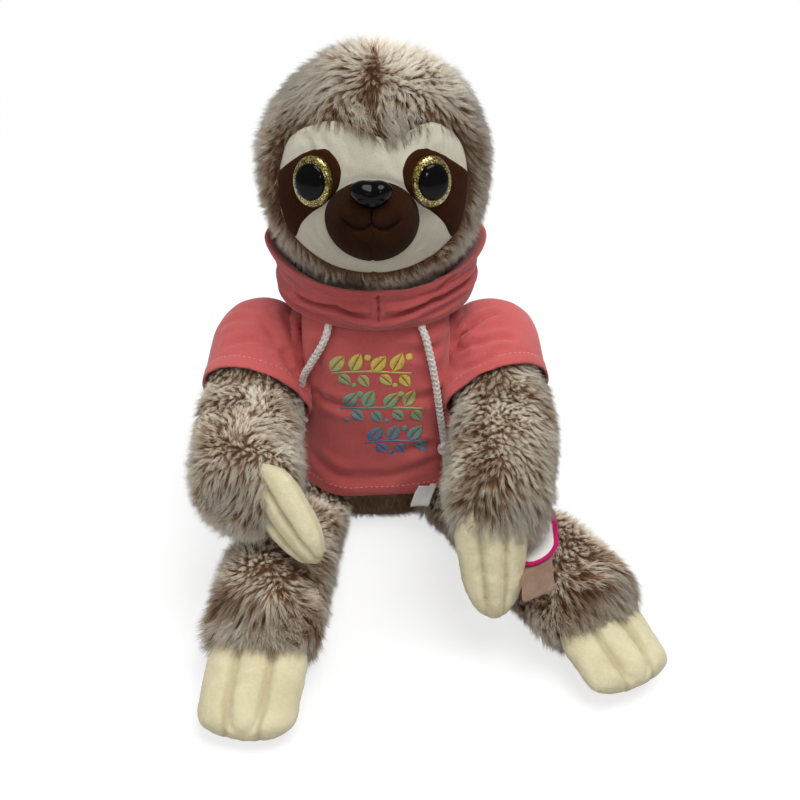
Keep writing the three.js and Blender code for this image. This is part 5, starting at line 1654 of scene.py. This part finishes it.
def stem(x, z, length):
    form = bmesh.new()
    bmesh.ops.create_grid(form, x_segments=14, y_segments=1, size=1)
    for v in form.verts:
        along = (v.co.x + 1) / 2
        v.co = Vector((along * length, 0, v.co.y * 0.6 + 1.6 * math.sin(along * math.pi)))
    return laid_out(form, x, z, 0)


shapes = []
for row, (start, height, count) in enumerate(((-28, 122, 4), (-21, 98, 4), (-7, 74, 3))):
    shapes.append(stem(start, height - 4, count * 12.2))
    for k in range(count):
        x = start + 2.5 + k * 11.8
        shapes.append(leaf(x, height - 2.0, 12.5, 3.7, 64 if k % 2 else 50))
        shapes.append(leaf(x + 4.4, height - 4.8, 9.5, 3.0, -56 if k % 2 else -42))
        if (k + row) % 2:
            shapes.append(berry(x + 9.4, height + 6.4, 2.0))
            shapes.append(berry(x + 1.2, height - 11.5, 1.5))
sprigs = finished("chest_print", joined([printed(form) for form in shapes]))
face_forward(sprigs)
thickened(sprigs, 0.12)
settle(sprigs, "torso", material=print_ink())


# Care label
# A loop of white satin ribbon, folded in half and caught in the stitching of the hem. It is bare.
LABEL_SIDE = 31
LABEL_HALF_WIDTH = 5.5
LABEL_LENGTH = 13.5
LABEL_COLUMNS = 12
FOLD_START = 0.42
FOLD_END = 0.58


def satin():
    def weft(g):
        return g.add("ShaderNodeTexWave", {"bands_direction": "Z"}, Vector=g.place(), Scale=900.0, Distortion=1.5,
                     Detail_Scale=2.0).outputs["Fac"]
    return plush_cloth("white_satin", (226, 225, 224), (244, 243, 241), fuzz=300, patch=90, bump=0.25, sheen=0.1,
                       roughness=0.38, relief=weft, depth=0.12)


def label_section(share):
    """A place along the folded ribbon: down its front, round the fold and up its back."""
    if share < FOLD_START:
        return -1.0 + 0.35 * math.sin(share * 9), -LABEL_LENGTH * share / FOLD_START
    if share > FOLD_END:
        return 1.0 + 0.3 * math.sin(share * 8), -LABEL_LENGTH * (1 - share) / FOLD_START
    a = math.pi * (share - FOLD_START) / (FOLD_END - FOLD_START)
    return -math.cos(a), -LABEL_LENGTH - math.sin(a)


def label_form(top):
    form = bmesh.new()
    line = [form.verts.new((top + Vector((-LABEL_HALF_WIDTH, *label_section(k / 32)))) * MM) for k in range(33)]
    edges = [form.edges.new(pair) for pair in zip(line, line[1:])]
    step = (2 * LABEL_HALF_WIDTH / LABEL_COLUMNS * MM, 0, 0)
    for k in range(LABEL_COLUMNS):
        made = bmesh.ops.extrude_edge_only(form, edges=edges)["geom"]
        edges = [e for e in of_kind(bmesh.types.BMEdge, made) if all(v in made for v in e.verts)]
        bmesh.ops.translate(form, verts=of_kind(bmesh.types.BMVert, made), vec=step)
    bmesh.ops.recalc_face_normals(form, faces=form.faces)
    return form


label_top = on_hoodie(LABEL_SIDE, HEM_HEIGHT + HEM_RISE * (LABEL_SIDE / 49) ** 2 + 3, 0.6)
label = finished("care_label_ribbon", label_form(label_top))
places = places_of(label.data)
curl = (places[:, 0] / MM - LABEL_SIDE) / LABEL_HALF_WIDTH
drop = np.clip((label_top.z - places[:, 2] / MM) / LABEL_LENGTH, 0, 1)
places[:, 1] -= (0.9 * curl**2 * drop + 1.6 * drop**2) * MM
places[:, 0] -= 5 * drop * MM
put_places(label.data, places)
thickened(label, 0.25, offset=0)
settle(label, "torso", "care_label", satin())


# Swing tags
# A kraft card and a white card with a magenta border, both bare, slipped between the left arm and the
# thigh on one clear pin.
TAG_PIN = Vector((82.2, -115.4, 58.1))
TAG_TURN = Matrix.Rotation(-math.radians(34), 4, "Y")
TAG_LEAN = Matrix.Rotation(-math.radians(4), 4, "Z")
TAG_FRAME = Matrix.Translation(TAG_PIN * MM) @ TAG_TURN @ TAG_LEAN
TAG_TOP = 7
TAG_ROWS = 14
CARD = 0.8


def board(name, low, high):
    """Uncoated board: pressed fibres and flecks."""
    return plush_cloth(name, low, high, fuzz=1800, patch=120, bump=0.25, sheen=0.0, roughness=0.8)


def cut_card(name, width, length, corner, low_corner, shift, level, bend, boards, border=None):
    """A card cut from board, its corners rounded, slightly bowed along its length."""
    form = bmesh.new()
    bmesh.ops.create_grid(form, x_segments=1, y_segments=1, size=0.5)
    for v in form.verts:
        v.co = Vector((shift + v.co.x * width, TAG_TOP - length * (0.5 - v.co.y), 0)) * MM
    tops = [v for v in form.verts if v.co.y > 0]
    feet = [v for v in form.verts if v.co.y <= 0]
    for verts, radius in ((tops, corner), (feet, low_corner)):
        bmesh.ops.bevel(form, geom=verts, offset=radius * MM, offset_type="OFFSET", segments=7, profile=0.5,
                        affect="VERTICES", material=-1)
    if border:
        bmesh.ops.inset_region(form, faces=form.faces[:], thickness=border * MM, use_even_offset=True,
                               use_boundary=True)
        inner = max(form.faces, key=lambda f: f.calc_area())
        for f in form.faces:
            f.material_index = 0 if f is inner else 1
    lows = min(v.co.y for v in form.verts)
    span = max(v.co.y for v in form.verts) - lows
    for k in range(1, TAG_ROWS):
        bmesh.ops.bisect_plane(form, geom=all_of(form), plane_co=(0, lows + span * k / TAG_ROWS, 0), plane_no=(0, 1, 0))
    for v in form.verts:
        v.co.z = (level + bend * ((v.co.y - lows) / span - 0.5) ** 2 * 4) * MM
    bmesh.ops.transform(form, matrix=TAG_FRAME, verts=form.verts)
    bmesh.ops.recalc_face_normals(form, faces=form.faces)
    tag = finished(name, form, smooth=False)
    for material in boards:
        tag.data.materials.append(material)
    wall = tag.modifiers.new("board", "SOLIDIFY")
    wall.thickness = CARD * MM
    wall.offset = 0
    worked(tag)
    tag.data.shade_flat()
    return tag


KRAFT_BOARD = board("kraft_board", (128, 104, 88), (158, 132, 114))
EDGE_BOARDS = [
    board("white_board", (232, 230, 226), (246, 245, 242)),
    board("magenta_board", (180, 22, 92), (202, 40, 112)),
]
kraft = cut_card("kraft_tag_card", 18, 58, corner=1.5, low_corner=2.5, shift=4.5, level=0.4, bend=0.8,
                 boards=[KRAFT_BOARD])
settle(kraft, "arm_left", "kraft_tag")
edge = cut_card("edge_tag_card", 24, 36, corner=3, low_corner=11.5, shift=7, level=1.6, bend=0.4, boards=EDGE_BOARDS,
                border=2.6)
settle(edge, "arm_left", "edge_tag")


def clear_moulded():
    """Natural translucent plastic with faint flow marks."""
    material = plush_cloth("clear_moulded", (198, 198, 194), (224, 224, 220), fuzz=600, patch=200, bump=0.1, sheen=0.0,
                           roughness=0.35)
    material.node_tree.nodes["Principled BSDF"].inputs["Transmission Weight"].default_value = 0.35
    return material


CLEAR_MOULDED = clear_moulded()
for node in ("tag_pin", "eye_washer_right", "eye_washer_left", "nose_washer"):
    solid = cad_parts[node]
    solid.data.materials.clear()
    solid.data.materials.append(CLEAR_MOULDED)
